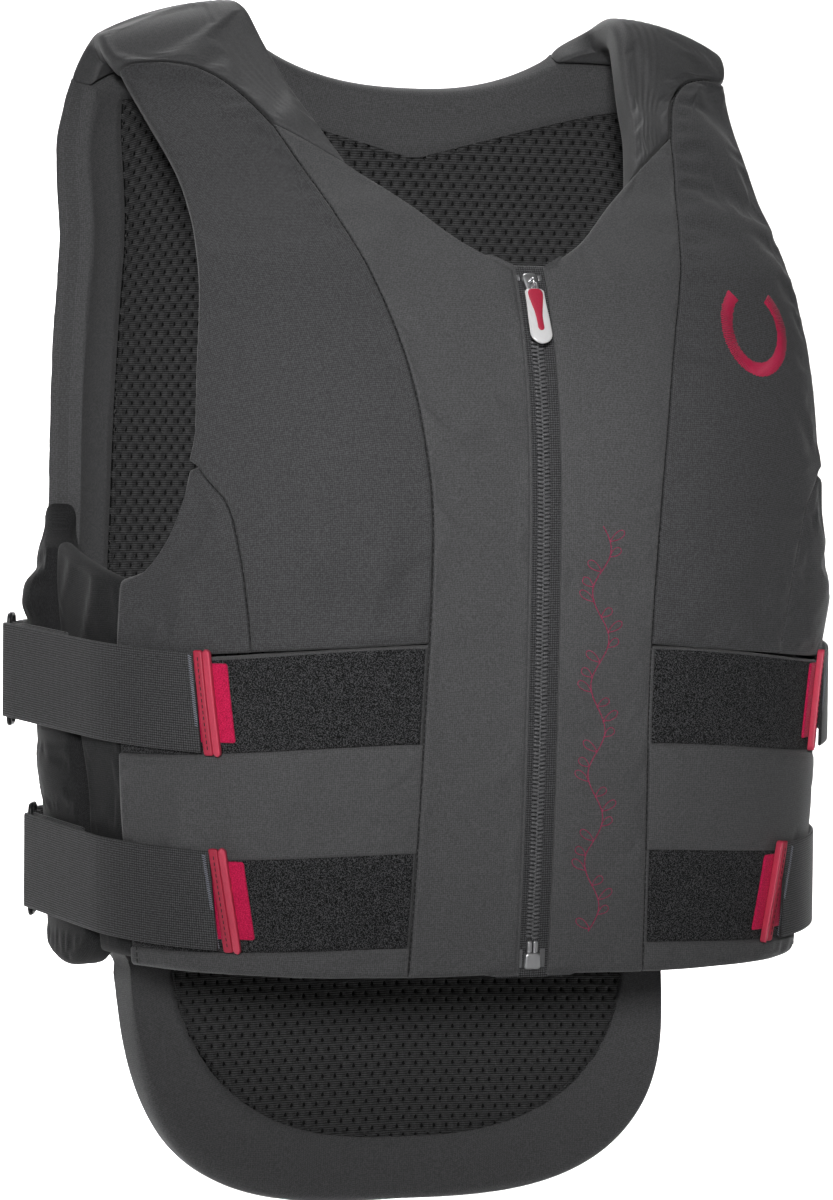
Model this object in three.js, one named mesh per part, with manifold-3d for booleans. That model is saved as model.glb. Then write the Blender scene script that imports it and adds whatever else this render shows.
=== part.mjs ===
// Equestrian body protector: a padded vest on the form of a worn torso.
// Millimetres, +Z up, the front faces -Y and the wearer's left is +X.
// The origin lies midway between the shoulder straps, level with their undersides,
// which is where the vest sits on the wearer.
import * as THREE from 'three';
import { mergeVertices } from 'three/addons/utils/BufferGeometryUtils.js';
import Module from 'manifold-3d';

const wasm = await Module();
wasm.setup();

// Driving dimensions.
const frontLength = 512; // top of the shoulders down to the front hem
const tailDrop = 151; // front hem down to the tip of the tail
const vestWidth = 428; // outside, across the chest
const frontDepth = 178; // shoulder line forward to the chest
const backDepth = 60; // shoulder line back to the shoulder blades
const shoulderLineY = 10; // the shoulder line, behind the origin
const bustRise = 8; // extra fullness on each side of the zip
const waistSway = 0.03; // share by which the waist stands out more to the wearer's right
const shoulderSway = 0.05; // the same for the shoulders
const frontSquareness = 3; // exponent of the front half section
const backSquareness = 3; // exponent of the back half section
const shoulderStart = 100; // half width from which the shoulders slope
const rightShoulderFall = 27; // fall of the wearer's right shoulder over 100 mm
const leftShoulderFall = 34; // fall of the wearer's left shoulder over 100 mm
const leftLean = 0.028; // how much lower the left of the waist hangs, per mm of width
const padThickness = 18; // foam and cover of the main pads
const centrePadThickness = 14; // pads beside the zip
const wingThickness = 10; // front side wings
const wingOutset = 4; // how far the back wings are drawn out by the straps
const wingFlare = 4.5; // how much further they stand out above the upper strap
const flareDrop = 0.585; // middle of that flare, share of frontLength
const flareSpread = 0.033;
const edgeRoll = 3.5; // how far a pad's rim is pulled in
const outerRoll = 0.4; // share of it on the outside where pads meet
const seamGap = 0.5; // between neighbouring pads
const seatGap = 0.3; // between pieces that lie on each other
const midStrapFall = 5; // fall of the shoulder from its crest to the middle of a strap

const neckHalfWidth = 106;
const napeDraw = 20; // how far the neck edge comes in behind the crest, per side
const foldAcross = 0.74; // where the neckline meets the yoke, share of a centre pad's width
const zipEdge = 8; // half width of the slot that shows the zip
const zipLap = 10; // how far the tape runs under a pad
const liningThickness = 1.5;
const liningSeat = 1.1; // from the back pad, room for both to bend
const sideEdgeAngle = 64; // side edge of the front pads, degrees round the section

const bandHeight = 50; // loop tape on the waist
const bandThickness = 1.1;
const bandRecess = 1.7;
const bandSideFall = 9; // how much lower a band runs at the side
const hemStrip = 16; // pad below the lower band

const strapWidth = 50;
const strapThickness = 1.6;
const strapReturn = 60; // length of the strap's stitched return behind its ring
const strapSide = 0.4 * vestWidth; // half width at which a strap meets its band
const strapClimb = 0.42; // share of the climb to its ring that a strap makes on the pad
const strapLeave = 68; // where a strap leaves the pad, degrees round the section
const strapRise = 1.4; // extra lift of the strap where it leaves the pad
const returnStep = 1.2; // how much higher the return lies than the strap over it
const ringWire = 2.6;
const ringLength = 14; // between the two bars of a ring, centre to centre
const ringCorner = 3;
const ringOverhang = 4; // each bar past the webbing, per end
const ringLean = 24; // degrees that a ring turns in from the side
const anchorAngles = [93, 97.5, 100.5, 103.5, 107]; // its run to the back pad, degrees round the section
const anchorStand = 3.2;
const patchHeight = 40;
const patchLength = 34;
const patchShows = 9; // how far a patch stands out past the grip
const patchThickness = 1.3;
const plateRoll = 0.3; // share of its thickness that a plate's edge is rounded
const gripHeight = 54;
const gripWidth = 10;
const gripThickness = 3.6;

const tapeThickness = 1;
const tapeAbove = 6; // tape above the slider
const tapeSeat = 4.2; // depth of the tape below the pads' surface
const tapeClearance = 0.8; // between a pad and the tape under it
const chainHalfWidth = 3;
const chainThickness = 2.3;
const sliderLength = 12;
const sliderWidth = 9;
const sliderThickness = 4;
const stopHeight = 3; // stops at the top of the zip
const stopWidth = 2.4;
const stopThickness = 1.4;
const bailWire = 1.2;
const bailWidth = 2;
const bailRadius = 1.9;
const bailSpring = 1.5; // height of the bail's centre over the slider
const linkWire = 1.2;
const linkPlay = 0.4; // between the bail and each side of the puller's wire
const linkReach = 6.5; // from the bail to the wire's lower bar
const pullerWidth = 12;
const pullerLength = 31;
const pullerThickness = 2.4;
const pullerRim = 2;
const boxHeight = 8.5; // retainer box at the foot of the zip
const boxWidth = 9;
const boxThickness = 4;
const pinHeight = 6;
const pinWidth = 2.4;
const filmWidth = 3;
const filmHeight = 10;
const filmThickness = 0.5;
const turnSteps = 6; // steps in a half turn of webbing
const wireSides = 6;

const crestZ = padThickness + midStrapFall;
const zipSetback = 2.6; // top of the slider below the centre pads' top corners
const bandTop = -bandRecess + seatGap + bandThickness; // face of the loop tape, from the form
const patchLift = bandTop + 2 * seatGap + patchThickness; // underside of strap and grip
const turnRadius = ringWire / 2 + 0.5 + strapThickness / 2;
const hemDrop = frontLength - 3;
const upperBandDrop = 0.662 * frontLength; // top of each band below the shoulder crest, at the seam
const lowerBandDrop = hemDrop - hemStrip - bandHeight;
const tipDrop = frontLength + tailDrop;
const meshTipDrop = tipDrop - 37;

const colours = {
  fabric: 0x3a3a3a,
  stretch: 0x404040,
  mesh: 0x262626,
  loop: 0x1c1c1c,
  webbing: 0x333333,
  red: 0xd8304a,
  patch: 0xb80f3a,
  silver: 0xc8c8c8,
  wire: 0x222222,
  coil: 0x343434,
  clear: 0xdedede,
};
const finish = (colour, roughness, metalness = 0) =>
  new THREE.MeshStandardMaterial({ color: colour, roughness, metalness });

// Section tables. Drops are shares of frontLength, widths of half the vest's
// width and depths of frontDepth or backDepth.
const widthSections = [
  { drop: 0, width: 0.9 },
  { drop: 0.1, width: 0.948 },
  { drop: 0.2, width: 0.963 },
  { drop: 0.29, width: 0.981 },
  { drop: 0.4, width: 0.996 },
  { drop: 0.53, width: 1 },
  { drop: 0.7, width: 0.987 },
  { drop: 0.85, width: 0.966 },
  { drop: 1, width: 0.94 },
  { drop: 1.3, width: 0.93 },
];
const frontProfile = [
  { drop: 0, depth: 0 },
  { drop: 0.006, depth: 0.115 },
  { drop: 0.049, depth: 0.252 },
  { drop: 0.092, depth: 0.356 },
  { drop: 0.137, depth: 0.48 },
  { drop: 0.195, depth: 0.62 },
  { drop: 0.24, depth: 0.74 },
  { drop: 0.291, depth: 0.857 },
  { drop: 0.387, depth: 0.955 },
  { drop: 0.49, depth: 0.994 },
  { drop: 0.605, depth: 1 },
  { drop: 0.74, depth: 0.994 },
  { drop: 0.88, depth: 0.97 },
  { drop: 1, depth: 0.935 },
];
const backProfile = [
  { drop: 0, depth: 0 },
  { drop: 0.006, depth: 0.26 },
  { drop: 0.035, depth: 0.48 },
  { drop: 0.082, depth: 0.62 },
  { drop: 0.15, depth: 0.7 },
  { drop: 0.27, depth: 0.86 },
  { drop: 0.39, depth: 0.97 },
  { drop: 0.51, depth: 1 },
  { drop: 0.645, depth: 0.96 },
  { drop: 0.78, depth: 0.88 },
  { drop: 0.92, depth: 0.81 },
  { drop: 1.04, depth: 0.76 },
  { drop: 1.17, depth: 0.72 },
  { drop: 1.3, depth: 0.72 },
];

const clamp = (v, low, high) => Math.min(high, Math.max(low, v));
const lerp = (a, b, t) => a + (b - a) * t;
const smooth = (t) => t * t * (3 - 2 * t);
const rise = (v, low, high) => smooth(clamp((v - low) / (high - low), 0, 1));
const radians = (degrees) => (degrees * Math.PI) / 180;

// A smooth value from a table of rows: cubic Hermite with slopes from the neighbours.
function along(rows, key, value, at) {
  const last = rows.length - 1;
  if (at <= rows[0][key]) return rows[0][value];
  if (at >= rows[last][key]) return rows[last][value];
  const slope = (i) => {
    const a = rows[Math.max(i - 1, 0)];
    const b = rows[Math.min(i + 1, last)];
    return (b[value] - a[value]) / (b[key] - a[key]);
  };
  let i = 0;
  while (rows[i + 1][key] < at) i += 1;
  const step = rows[i + 1][key] - rows[i][key];
  const t = (at - rows[i][key]) / step;
  const t2 = t * t;
  const t3 = t2 * t;
  return (
    (2 * t3 - 3 * t2 + 1) * rows[i][value] +
    (t3 - 2 * t2 + t) * step * slope(i) +
    (3 * t2 - 2 * t3) * rows[i + 1][value] +
    (t3 - t2) * step * slope(i + 1)
  );
}

// Near the crest the depth grows like a circle's, so it is read along the square root of the drop.
const rooted = (rows) => rows.map((r) => ({ ...r, root: Math.sqrt(r.drop) }));
const frontRooted = rooted(frontProfile);
const backRooted = rooted(backProfile);
const swayAt = (drop) =>
  waistSway *
    rise(drop, 0.5 * frontLength, 0.75 * frontLength) *
    rise(-drop, -1.2 * frontLength, -frontLength) +
  shoulderSway * (1 - rise(drop, 0.03 * frontLength, 0.25 * frontLength));
const swayed = (drop, sign) => 1 - sign * swayAt(drop);
const halfWidthAt = (drop, sign) =>
  (vestWidth / 2) * along(widthSections, 'drop', 'width', drop / frontLength) * swayed(drop, sign);
const frontDepthAt = (drop) =>
  frontDepth * along(frontRooted, 'root', 'depth', Math.sqrt(Math.max(drop, 0) / frontLength));
const backDepthAt = (drop) =>
  backDepth * along(backRooted, 'root', 'depth', Math.sqrt(Math.max(drop, 0) / frontLength));

// Height of a point: the shoulders fall away beyond shoulderStart, which fades down the chest, and
// the left of the waist hangs lower.
function heightAt(x, drop) {
  const past = Math.max(Math.abs(x) - shoulderStart, 0) / 100;
  const fall = (x < 0 ? rightShoulderFall : leftShoulderFall) * past * past;
  const lean = leftLean * Math.max(x, 0) * rise(drop, 0.4 * frontLength, 0.7 * frontLength);
  return crestZ - drop - lean - fall * (1 - rise(drop, 0.04 * frontLength, 0.47 * frontLength));
}

// Extra fullness of the chest, a bump on each side.
const bump = { width: 0.4, widthSpread: 0.3, drop: 0.5, dropSpread: 0.17 };
function bust(x, drop) {
  const across = (Math.abs(x) / (vestWidth / 2) - bump.width) / bump.widthSpread;
  const down = (drop / frontLength - bump.drop) / bump.dropSpread;
  return bustRise * Math.exp(-across * across - down * down);
}

// A point of the outer surface on the front (side -1) or back (side 1), by half width.
function byWidth(x, drop, side) {
  const share = clamp(Math.abs(x) / halfWidthAt(drop, Math.sign(x)), 0, 1);
  const power = side < 0 ? frontSquareness : backSquareness;
  const taper = (1 - share ** power) ** (1 / power);
  const depth = side < 0 ? frontDepthAt(drop) * taper + bust(x, drop) : backDepthAt(drop) * taper;
  return new THREE.Vector3(x, shoulderLineY + side * depth, heightAt(x, drop));
}

// The same surface by angle round the section: 0 at the front, 90 at the side, 180 at the back.
function byAngle(angle, drop) {
  const turn = radians(Math.abs(angle));
  const across = Math.abs(Math.sin(turn)) / halfWidthAt(drop, Math.sign(angle));
  const front = Math.cos(turn) > 0;
  const power = front ? frontSquareness : backSquareness;
  const ahead = Math.abs(Math.cos(turn)) / (front ? frontDepthAt(drop) : backDepthAt(drop));
  const reach = (across ** power + ahead ** power) ** (-1 / power);
  const x = Math.sign(angle) * reach * Math.sin(turn);
  const y = shoulderLineY - reach * Math.cos(turn) - (front ? bust(x, drop) : 0);
  return new THREE.Vector3(x, y, heightAt(x, drop));
}

// The angle at which the front surface has half width x.
function angleOf(x, drop, sign) {
  const share = clamp(x / halfWidthAt(drop, sign), 0, 1);
  const ahead = frontDepthAt(drop) * (1 - share ** frontSquareness) ** (1 / frontSquareness);
  return (Math.atan2(x, ahead) * 180) / Math.PI;
}

// Outward normal of a surface given as a function of two numbers.
function normalOf(surface, u, v, du, dv) {
  const across = surface(u + du, v).sub(surface(u - du, v));
  const down = surface(u, v + dv).sub(surface(u, v - dv));
  const normal = across.cross(down).normalize();
  const centre = new THREE.Vector3(0, shoulderLineY, surface(u, v).z - 60);
  return normal.dot(surface(u, v).sub(centre)) < 0 ? normal.negate() : normal;
}

// A closed solid between two skins over a grid: place(a, b) gives the surface function's two
// numbers, and outer(a, b) and inner(a, b) the distances from it, outwards.
function padSolid(columns, rows, surface, place, outer, inner) {
  const skins = [[], []];
  for (const b of rows) {
    for (const a of columns) {
      const [u, v] = place(a, b);
      const point = surface(u, v);
      const normal = normalOf(surface, u, v, 0.5, 0.5);
      skins[0].push(point.clone().addScaledVector(normal, outer(a, b)));
      skins[1].push(point.clone().addScaledVector(normal, inner(a, b)));
    }
  }
  return closeSkins(skins, columns.length, rows.length);
}

// Joins two grids of points into one closed mesh that faces out.
function closeSkins([top, bottom], width, height) {
  const points = [...top, ...bottom];
  const base = top.length;
  const faces = [];
  const quad = (a, b, c, d) => faces.push(a, b, c, a, c, d);
  for (let j = 0; j < height - 1; j += 1) {
    for (let i = 0; i < width - 1; i += 1) {
      const k = j * width + i;
      quad(k, k + 1, k + width + 1, k + width);
      quad(base + k, base + k + width, base + k + width + 1, base + k + 1);
    }
  }
  const rim = [];
  for (let i = 0; i < width - 1; i += 1) rim.push(i);
  for (let j = 0; j < height - 1; j += 1) rim.push(j * width + width - 1);
  for (let i = width - 1; i > 0; i -= 1) rim.push((height - 1) * width + i);
  for (let j = height - 1; j > 0; j -= 1) rim.push(j * width);
  rim.forEach((k, n) => {
    const next = rim[(n + 1) % rim.length];
    quad(k, base + k, base + next, next);
  });
  return facingOut(points, faces);
}

// An indexed geometry, with its faces turned round if they enclose a negative volume.
function facingOut(points, faces) {
  let volume = 0;
  for (let i = 0; i < faces.length; i += 3) {
    const [a, b, c] = [points[faces[i]], points[faces[i + 1]], points[faces[i + 2]]];
    volume += a.dot(b.clone().cross(c));
  }
  const order = volume < 0 ? faces.map((_, i) => faces[i - (i % 3) + [0, 2, 1][i % 3]]) : faces;
  const geometry = new THREE.BufferGeometry().setFromPoints(points);
  geometry.setIndex(order);
  geometry.computeVertexNormals();
  return geometry;
}

// Grid lines from 0 to 1 with a narrow first and last strip for the rolled rim.
function gridLines(count, rimShare) {
  const inner = Array.from({ length: count }, (_, i) => lerp(rimShare, 1 - rimShare, i / (count - 1)));
  return [0, ...inner, 1];
}
const onRim = (a, b) => a === 0 || a === 1 || b === 0 || b === 1;
const rolled = (depth) => (a, b) => (onRim(a, b) ? depth : 0);

const vest = new THREE.Group();
const sides = [
  { name: 'right', sign: -1 },
  { name: 'left', sign: 1 },
];
function addMesh(parent, name, geometry, material) {
  const mesh = new THREE.Mesh(geometry, material);
  mesh.name = name;
  parent.add(mesh);
  return mesh;
}

const fabric = finish(colours.fabric, 0.85);
const stretch = finish(colours.stretch, 0.7);
const mesh = finish(colours.mesh, 0.9);
const loop = finish(colours.loop, 0.95);
const webbing = finish(colours.webbing, 0.85);
const red = finish(colours.red, 0.5);
const patch = finish(colours.patch, 0.95);
const silver = finish(colours.silver, 0.3, 0.9);
const dark = finish(colours.wire, 0.4, 0.5);
const coil = finish(colours.coil, 0.5);
const clear = finish(colours.clear, 0.2);

// Edges of the pads. Drops are shares of frontLength and widths shares of half the vest's width.
const princessSeam = [
  { drop: 0.139, width: 0.526 },
  { drop: 0.172, width: 0.5 },
  { drop: 0.225, width: 0.453 },
  { drop: 0.32, width: 0.379 },
  { drop: 0.379, width: 0.341 },
  { drop: 0.445, width: 0.313 },
  { drop: 0.525, width: 0.291 },
  { drop: 0.66, width: 0.284 },
  { drop: 0.865, width: 0.294 },
  { drop: 1, width: 0.303 },
];
const frontArmhole = [
  { drop: 0.02, width: 0.835 },
  { drop: 0.045, width: 0.823 },
  { drop: 0.085, width: 0.803 },
  { drop: 0.13, width: 0.787 },
  { drop: 0.196, width: 0.773 },
  { drop: 0.29, width: 0.788 },
  { drop: 0.387, width: 0.81 },
  { drop: 0.484, width: 0.825 },
  { drop: 0.55, width: 0.857 },
  { drop: 0.59, width: 0.9 },
  { drop: 0.6, width: 0.935 },
];
const underarmSeam = [
  { drop: 0.478, width: 0.822 },
  { drop: 0.5, width: 0.79 },
  { drop: 0.524, width: 0.75 },
  { drop: 0.572, width: 0.72 },
  { drop: 0.625, width: 0.697 },
  { drop: 0.68, width: 0.678 },
];
const yokeOuterEdge = [
  { drop: 0, width: 0.855 },
  { drop: 0.025, width: 0.845 },
  { drop: 0.041, width: 0.818 },
  { drop: 0.048, width: 0.765 },
  { drop: 0.056, width: 0.71 },
  { drop: 0.07, width: 0.647 },
  { drop: 0.098, width: 0.583 },
  { drop: 0.137, width: 0.53 },
];
// The neck edge's widths are shares of neckHalfWidth.
const frontNeckEdge = [
  { drop: 0, width: 1 },
  { drop: 0.03, width: 0.98 },
  { drop: 0.074, width: 0.93 },
  { drop: 0.117, width: 0.87 },
  { drop: 0.15, width: 0.81 },
  { drop: 0.185, width: 0.74 },
];
const backArmhole = [
  { drop: 0, width: 0.855 },
  { drop: 0.024, width: 0.885 },
  { drop: 0.058, width: 0.915 },
  { drop: 0.1, width: 0.94 },
  { drop: 0.2, width: 0.955 },
  { drop: 0.4, width: 0.965 },
  { drop: 0.55, width: 0.965 },
  { drop: 0.9, width: 0.945 },
  { drop: 0.97, width: 0.84 },
  { drop: 1.02, width: 0.757 },
];
const meshEdge = [
  { drop: 0.05, width: 0.79 },
  { drop: 0.35, width: 0.815 },
  { drop: 0.6, width: 0.83 },
  { drop: 0.8, width: 0.78 },
  { drop: 0.98, width: 0.645 },
];
const edgeAt = (rows, drop, sign) =>
  (vestWidth / 2) * along(rows, 'drop', 'width', drop / frontLength) * swayed(drop, sign);
const neckAt = (drop, sign) =>
  neckHalfWidth * along(frontNeckEdge, 'drop', 'width', drop / frontLength) * swayed(drop, sign);

// Drop of the centre pad's top edge, from the zip (0) to the princess seam (1).
const centreTop = [
  { across: 0, drop: 0.286 },
  { across: 0.12, drop: 0.276 },
  { across: 0.33, drop: 0.254 },
  { across: 0.55, drop: 0.216 },
  { across: 0.78, drop: 0.177 },
  { across: 1, drop: 0.139 },
];

const centreTopDrop = (across) => frontLength * along(centreTop, 'across', 'drop', across);

// Centre pads beside the zip, thin along it where the tape runs underneath.
function centrePad(sign) {
  const columns = [0, 0.06, 0.2, 0.33, 0.55, 0.78, 0.95, 1];
  const rows = gridLines(13, 0.02);
  const place = (a, b) => {
    const drop = lerp(hemDrop, centreTopDrop(a), b);
    const outerEdge = edgeAt(princessSeam, drop, sign) - seamGap / 2;
    return [sign * lerp(zipEdge, outerEdge, a), drop];
  };
  const surface = (x, drop) => byWidth(x, drop, -1);
  const thin = tapeSeat - tapeClearance;
  const inner = (a, b) => {
    const full = a <= 0.2 ? thin : lerp(thin, centrePadThickness, rise(a, 0.2, 0.5));
    return -full + (a > 0.5 && onRim(a, b) ? edgeRoll : 0);
  };
  const outer = (a, b) => (onRim(a, b) ? -outerRoll * edgeRoll : 0);
  return padSolid(columns, rows, surface, place, outer, inner);
}
// Angle of the princess seam at the waist.
function waistSeam(drop, sign) {
  return angleOf(edgeAt(princessSeam, drop, sign) + seamGap / 2, drop, sign);
}

// Drop of a waist line that runs lower towards the side.
function sideFall(angle) {
  return bandSideFall * rise(Math.abs(angle), 20, sideEdgeAngle);
}

// Share of that fall: all of it at the upper band and hemFall of it at the hem, which rises again.
const hemFall = 0.3;
const fallShare = (drop) => lerp(hemFall, 1, (hemDrop - drop) / (hemDrop - upperBandDrop));

// Chest pads: from their rounded top on the shoulder down to the upper band.
function chestPad(sign) {
  const topDrop = 0.045 * frontLength;
  const princessTop = 0.139 * frontLength;
  const underarmTop = 0.484 * frontLength;
  const place = (a, b) => {
    const bottom = upperBandDrop - 1 + (bandSideFall * a) / 2 - seamGap / 2;
    const drop = lerp(bottom, topDrop, b);
    const seam = edgeAt(drop < princessTop ? yokeOuterEdge : princessSeam, drop, sign);
    const arm = edgeAt(drop < underarmTop ? frontArmhole : underarmSeam, drop, sign);
    const low = angleOf(seam + seamGap, drop, sign);
    const high = angleOf(Math.max(arm - seamGap / 2, seam + 5), drop, sign);
    return [sign * lerp(low, high, a), drop];
  };
  const outer = rolled(-outerRoll * edgeRoll);
  const inner = (a, b) => -padThickness + (onRim(a, b) ? edgeRoll : 0);
  return padSolid(gridLines(6, 0.06), gridLines(15, 0.015), byAngle, place, outer, inner);
}

// Underarm pads between the chest pad, the armhole and the side edge.
function underarmPad(sign) {
  const seamAngle = (drop) => angleOf(edgeAt(underarmSeam, drop, sign) + seamGap / 2, drop, sign);
  const armDrop = (a) => frontLength * lerp(0.487, 0.6, a ** 1.3);
  const armAngle = (a) => {
    const drop = armDrop(a);
    return Math.min(angleOf(edgeAt(frontArmhole, drop, sign), drop, sign), sideEdgeAngle);
  };
  const bottomDrop = (a) => upperBandDrop - 1 + bandSideFall * lerp(0.5, 1, a);
  const place = (a, b) => {
    const drop = lerp(bottomDrop(a), armDrop(a), b);
    const lowAngle = lerp(seamAngle(bottomDrop(0)), sideEdgeAngle, a);
    const highAngle = a === 0 ? seamAngle(armDrop(0)) : armAngle(a);
    const straight = lerp(seamAngle(bottomDrop(0)), seamAngle(armDrop(0)), b);
    const bow = seamAngle(lerp(bottomDrop(0), armDrop(0), b)) - straight;
    return [sign * (lerp(lowAngle, highAngle, b) + (1 - a) ** 2 * bow), drop];
  };
  const outer = rolled(-outerRoll * edgeRoll);
  const inner = (a, b) => -(padThickness - 2) + (onRim(a, b) ? edgeRoll : 0);
  return padSolid(gridLines(4, 0.08), gridLines(6, 0.06), byAngle, place, outer, inner);
}

// Waist pads with two shallow recesses for the loop tape.
function waistPad(sign) {
  const bandRows = [upperBandDrop, lowerBandDrop].flatMap((top) => [
    { drop: top + 1, recess: 0 },
    { drop: top + 2, recess: 1 },
    { drop: top + bandHeight / 2, recess: 1 },
    { drop: top + bandHeight, recess: 1 },
    { drop: top + bandHeight + 1, recess: 0 },
  ]);
  const middle = (upperBandDrop + bandHeight + lowerBandDrop) / 2;
  const rows = [
    { drop: upperBandDrop, recess: 0 },
    ...bandRows.slice(0, 5),
    { drop: middle, recess: 0 },
    ...bandRows.slice(5),
    { drop: hemDrop - 4, recess: 0 },
    { drop: hemDrop, recess: 0 },
  ];
  const place = (a, row) => {
    const seam = waistSeam(row.drop, sign);
    const angle = lerp(seam, sideEdgeAngle, a);
    const atHem = row.drop > lowerBandDrop + bandHeight + 1;
    return [sign * angle, row.drop + sideFall(angle) * (atHem ? -hemFall : fallShare(row.drop))];
  };
  const last = rows.length - 1;
  const rim = (a, row) => a === 0 || a === 1 || row === rows[0] || row === rows[last];
  const outer = (a, row) => -bandRecess * row.recess - (rim(a, row) ? outerRoll * edgeRoll : 0);
  const inner = (a, row) => -padThickness + (rim(a, row) ? edgeRoll : 0);
  return padSolid(waistColumns, rows, byAngle, place, outer, inner);
}
const waistColumns = gridLines(6, 0.05);

// Loop tape lying in a waist pad's recess.
function loopBand(sign, top) {
  const rows = [2.6, bandHeight / 2, bandHeight - 0.6];
  const place = (a, down) => {
    const drop = top + down;
    const seam = waistSeam(drop, sign);
    const angle = lerp(seam, sideEdgeAngle, a);
    return [sign * angle, drop + sideFall(angle) * fallShare(drop)];
  };
  const outer = () => bandTop;
  const inner = () => -bandRecess + seatGap;
  const columns = [0.02, ...waistColumns.slice(1, -1), 0.98];
  return padSolid(columns, rows, byAngle, place, outer, inner);
}

// The shoulder strap's path: from its front end up over the crest (0) and down the back.
// Positive numbers run down the back and negative ones down the front, and the drop grows with
// their square over crestScale.
const crestScale = 100;
const backEndDrop = 0.034 * frontLength;
const napeDrop = 0.075 * frontLength;
const rootDrop = (s) => (s * s) / crestScale;
const alongShoulder = (x, s) => byWidth(x, rootDrop(s), s < 0 ? -1 : 1);

// Half width of the neck behind the crest, drawn in towards the nape.
const napeHalf = (drop, sign) =>
  (neckHalfWidth - napeDraw * rise(drop, 0, backEndDrop)) * swayed(drop, sign);

function yokePad(sign) {
  const backEnd = Math.sqrt(crestScale * (backEndDrop - seamGap));
  const place = (a, b) => {
    const across = lerp(foldAcross, 1, a);
    const foldDrop = centreTopDrop(across) - 1.5 * seamGap;
    const foldX = lerp(zipEdge, edgeAt(princessSeam, foldDrop, sign) - seamGap, across);
    const onStrap = (drop) => lerp(neckAt(drop, sign), edgeAt(yokeOuterEdge, drop + 2 * seamGap, sign), a);
    const s = lerp(-Math.sqrt(crestScale * foldDrop), backEnd, b);
    const drop = rootDrop(s);
    const behind = lerp(napeHalf(drop, sign), edgeAt(backArmhole, drop, sign), a);
    const toFold = (foldX - onStrap(foldDrop)) * (1 - rise(b, 0, 0.25));
    return [sign * ((s < 0 ? onStrap(drop) : behind) + toFold), s];
  };
  const outer = rolled(-edgeRoll);
  const inner = (a, b) => -(padThickness - 1) + (onRim(a, b) ? edgeRoll : 0);
  return padSolid(gridLines(6, 0.07), gridLines(13, 0.03), alongShoulder, place, outer, inner);
}

// Drop of the back pad's top edge: dipped at the nape, level where it meets the straps.
function backTopDrop(x) {
  const share = clamp(Math.abs(x) / napeHalf(backEndDrop, Math.sign(x)), 0, 1);
  return lerp(napeDrop, backEndDrop, share ** 2.4);
}
// Lower outline as a drop, for a share of the half width: a full U.
function lowerOutline(share, startDrop, endDrop, power) {
  return lerp(startDrop, endDrop, (1 - Math.abs(share) ** power) ** (1 / power));
}

function backPad() {
  const quarter = [0, 13, 27, 41, 55, 68, 79, 90].map((step) => Math.sin(radians(step)));
  const columns = [...quarter.slice(1).map((v) => -v).reverse(), ...quarter];
  const rows = [0, 0.015, 0.06, 0.12, 0.2, 0.3, 0.4, 0.5, 0.6, 0.7, 0.79, 0.87, 0.93, 0.98, 1];
  const tailStart = 1.02 * frontLength;
  const place = (a, b) => {
    const top = backTopDrop(a * edgeAt(backArmhole, backEndDrop, Math.sign(a)));
    const bottom = lowerOutline(a, tailStart, tipDrop, 3);
    const drop = lerp(top, bottom, b);
    return [a * edgeAt(backArmhole, drop, Math.sign(a)), drop];
  };
  const rim = (a, b) => Math.abs(a) === 1 || b === 0 || b === 1;
  const surface = (x, drop) => byWidth(x, drop, 1);
  const outer = (a, b) => (rim(a, b) ? -edgeRoll : 0);
  const inner = (a, b) => -padThickness + (rim(a, b) ? edgeRoll : 0);
  return padSolid(columns, rows, surface, place, outer, inner);
}

// Perforated lining on the inside of the back pad, cut to a V below the nape.
function backLining() {
  const quarter = [0, 18, 36, 54, 72, 90].map((step) => Math.sin(radians(step)));
  const columns = [...quarter.slice(1).map((v) => -v).reverse(), ...quarter];
  const rows = [0, 0.07, 0.15, 0.25, 0.36, 0.48, 0.6, 0.7, 0.79, 0.87, 0.94, 1];
  const place = (a, b) => {
    const top = frontLength * (0.15 - 0.082 * Math.abs(a));
    const bottom = lowerOutline(a, 0.98 * frontLength, meshTipDrop, 2.5);
    const drop = lerp(top, bottom, b);
    return [a * edgeAt(meshEdge, drop, Math.sign(a)), drop];
  };
  const surface = (x, drop) => byWidth(x, drop, 1);
  const top = -padThickness - liningSeat;
  return padSolid(columns, rows, surface, place, () => top, () => top - liningThickness);
}

// How far each strap lies below its band's middle, how far it rises to its ring, the ring's place and
// stand-off from the side, and the strap's end on each side in degrees round the section.
const straps = [
  { name: 'upper', top: upperBandDrop, below: 4, toRing: 9, ringY: 8, standOff: 18, right: 50.5, left: 55 },
  { name: 'lower', top: lowerBandDrop, below: 0, toRing: 8, ringY: 2, standOff: 13.5, right: 49, left: 46 },
];

// A strap on one side, with the heights that its band has there.
function strapOn(strap, sign) {
  const level = heightAt(sign * strapSide, strap.top + bandHeight / 2) - strap.below;
  return { ...strap, level, ringLevel: level + strap.toRing };
}

// Wings that close the sides: the front one thin, the back one full with a rounded foot.
const wingSlit = [
  { drop: 0.55, angle: 87.5 },
  { drop: 0.62, angle: 86 },
  { drop: 0.68, angle: 82.5 },
  { drop: 0.77, angle: 75.5 },
  { drop: 0.9, angle: 74 },
  { drop: 1, angle: 73.5 },
];
const slitAngle = (drop) => along(wingSlit, 'drop', 'angle', drop / frontLength);

function frontWing(sign) {
  const place = (a, b) => {
    const top = frontLength * lerp(0.601, 0.568, a);
    const drop = lerp(hemDrop - 6, top, b);
    return [sign * lerp(sideEdgeAngle + 0.25, slitAngle(drop) - 0.9, a), drop];
  };
  const outer = (a, b) => (onRim(a, b) ? -4 : -2.5);
  const inner = (a, b) => -wingThickness - 2.5 + (onRim(a, b) ? 2.5 : 0);
  return padSolid(gridLines(4, 0.1), gridLines(7, 0.03), byAngle, place, outer, inner);
}

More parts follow.
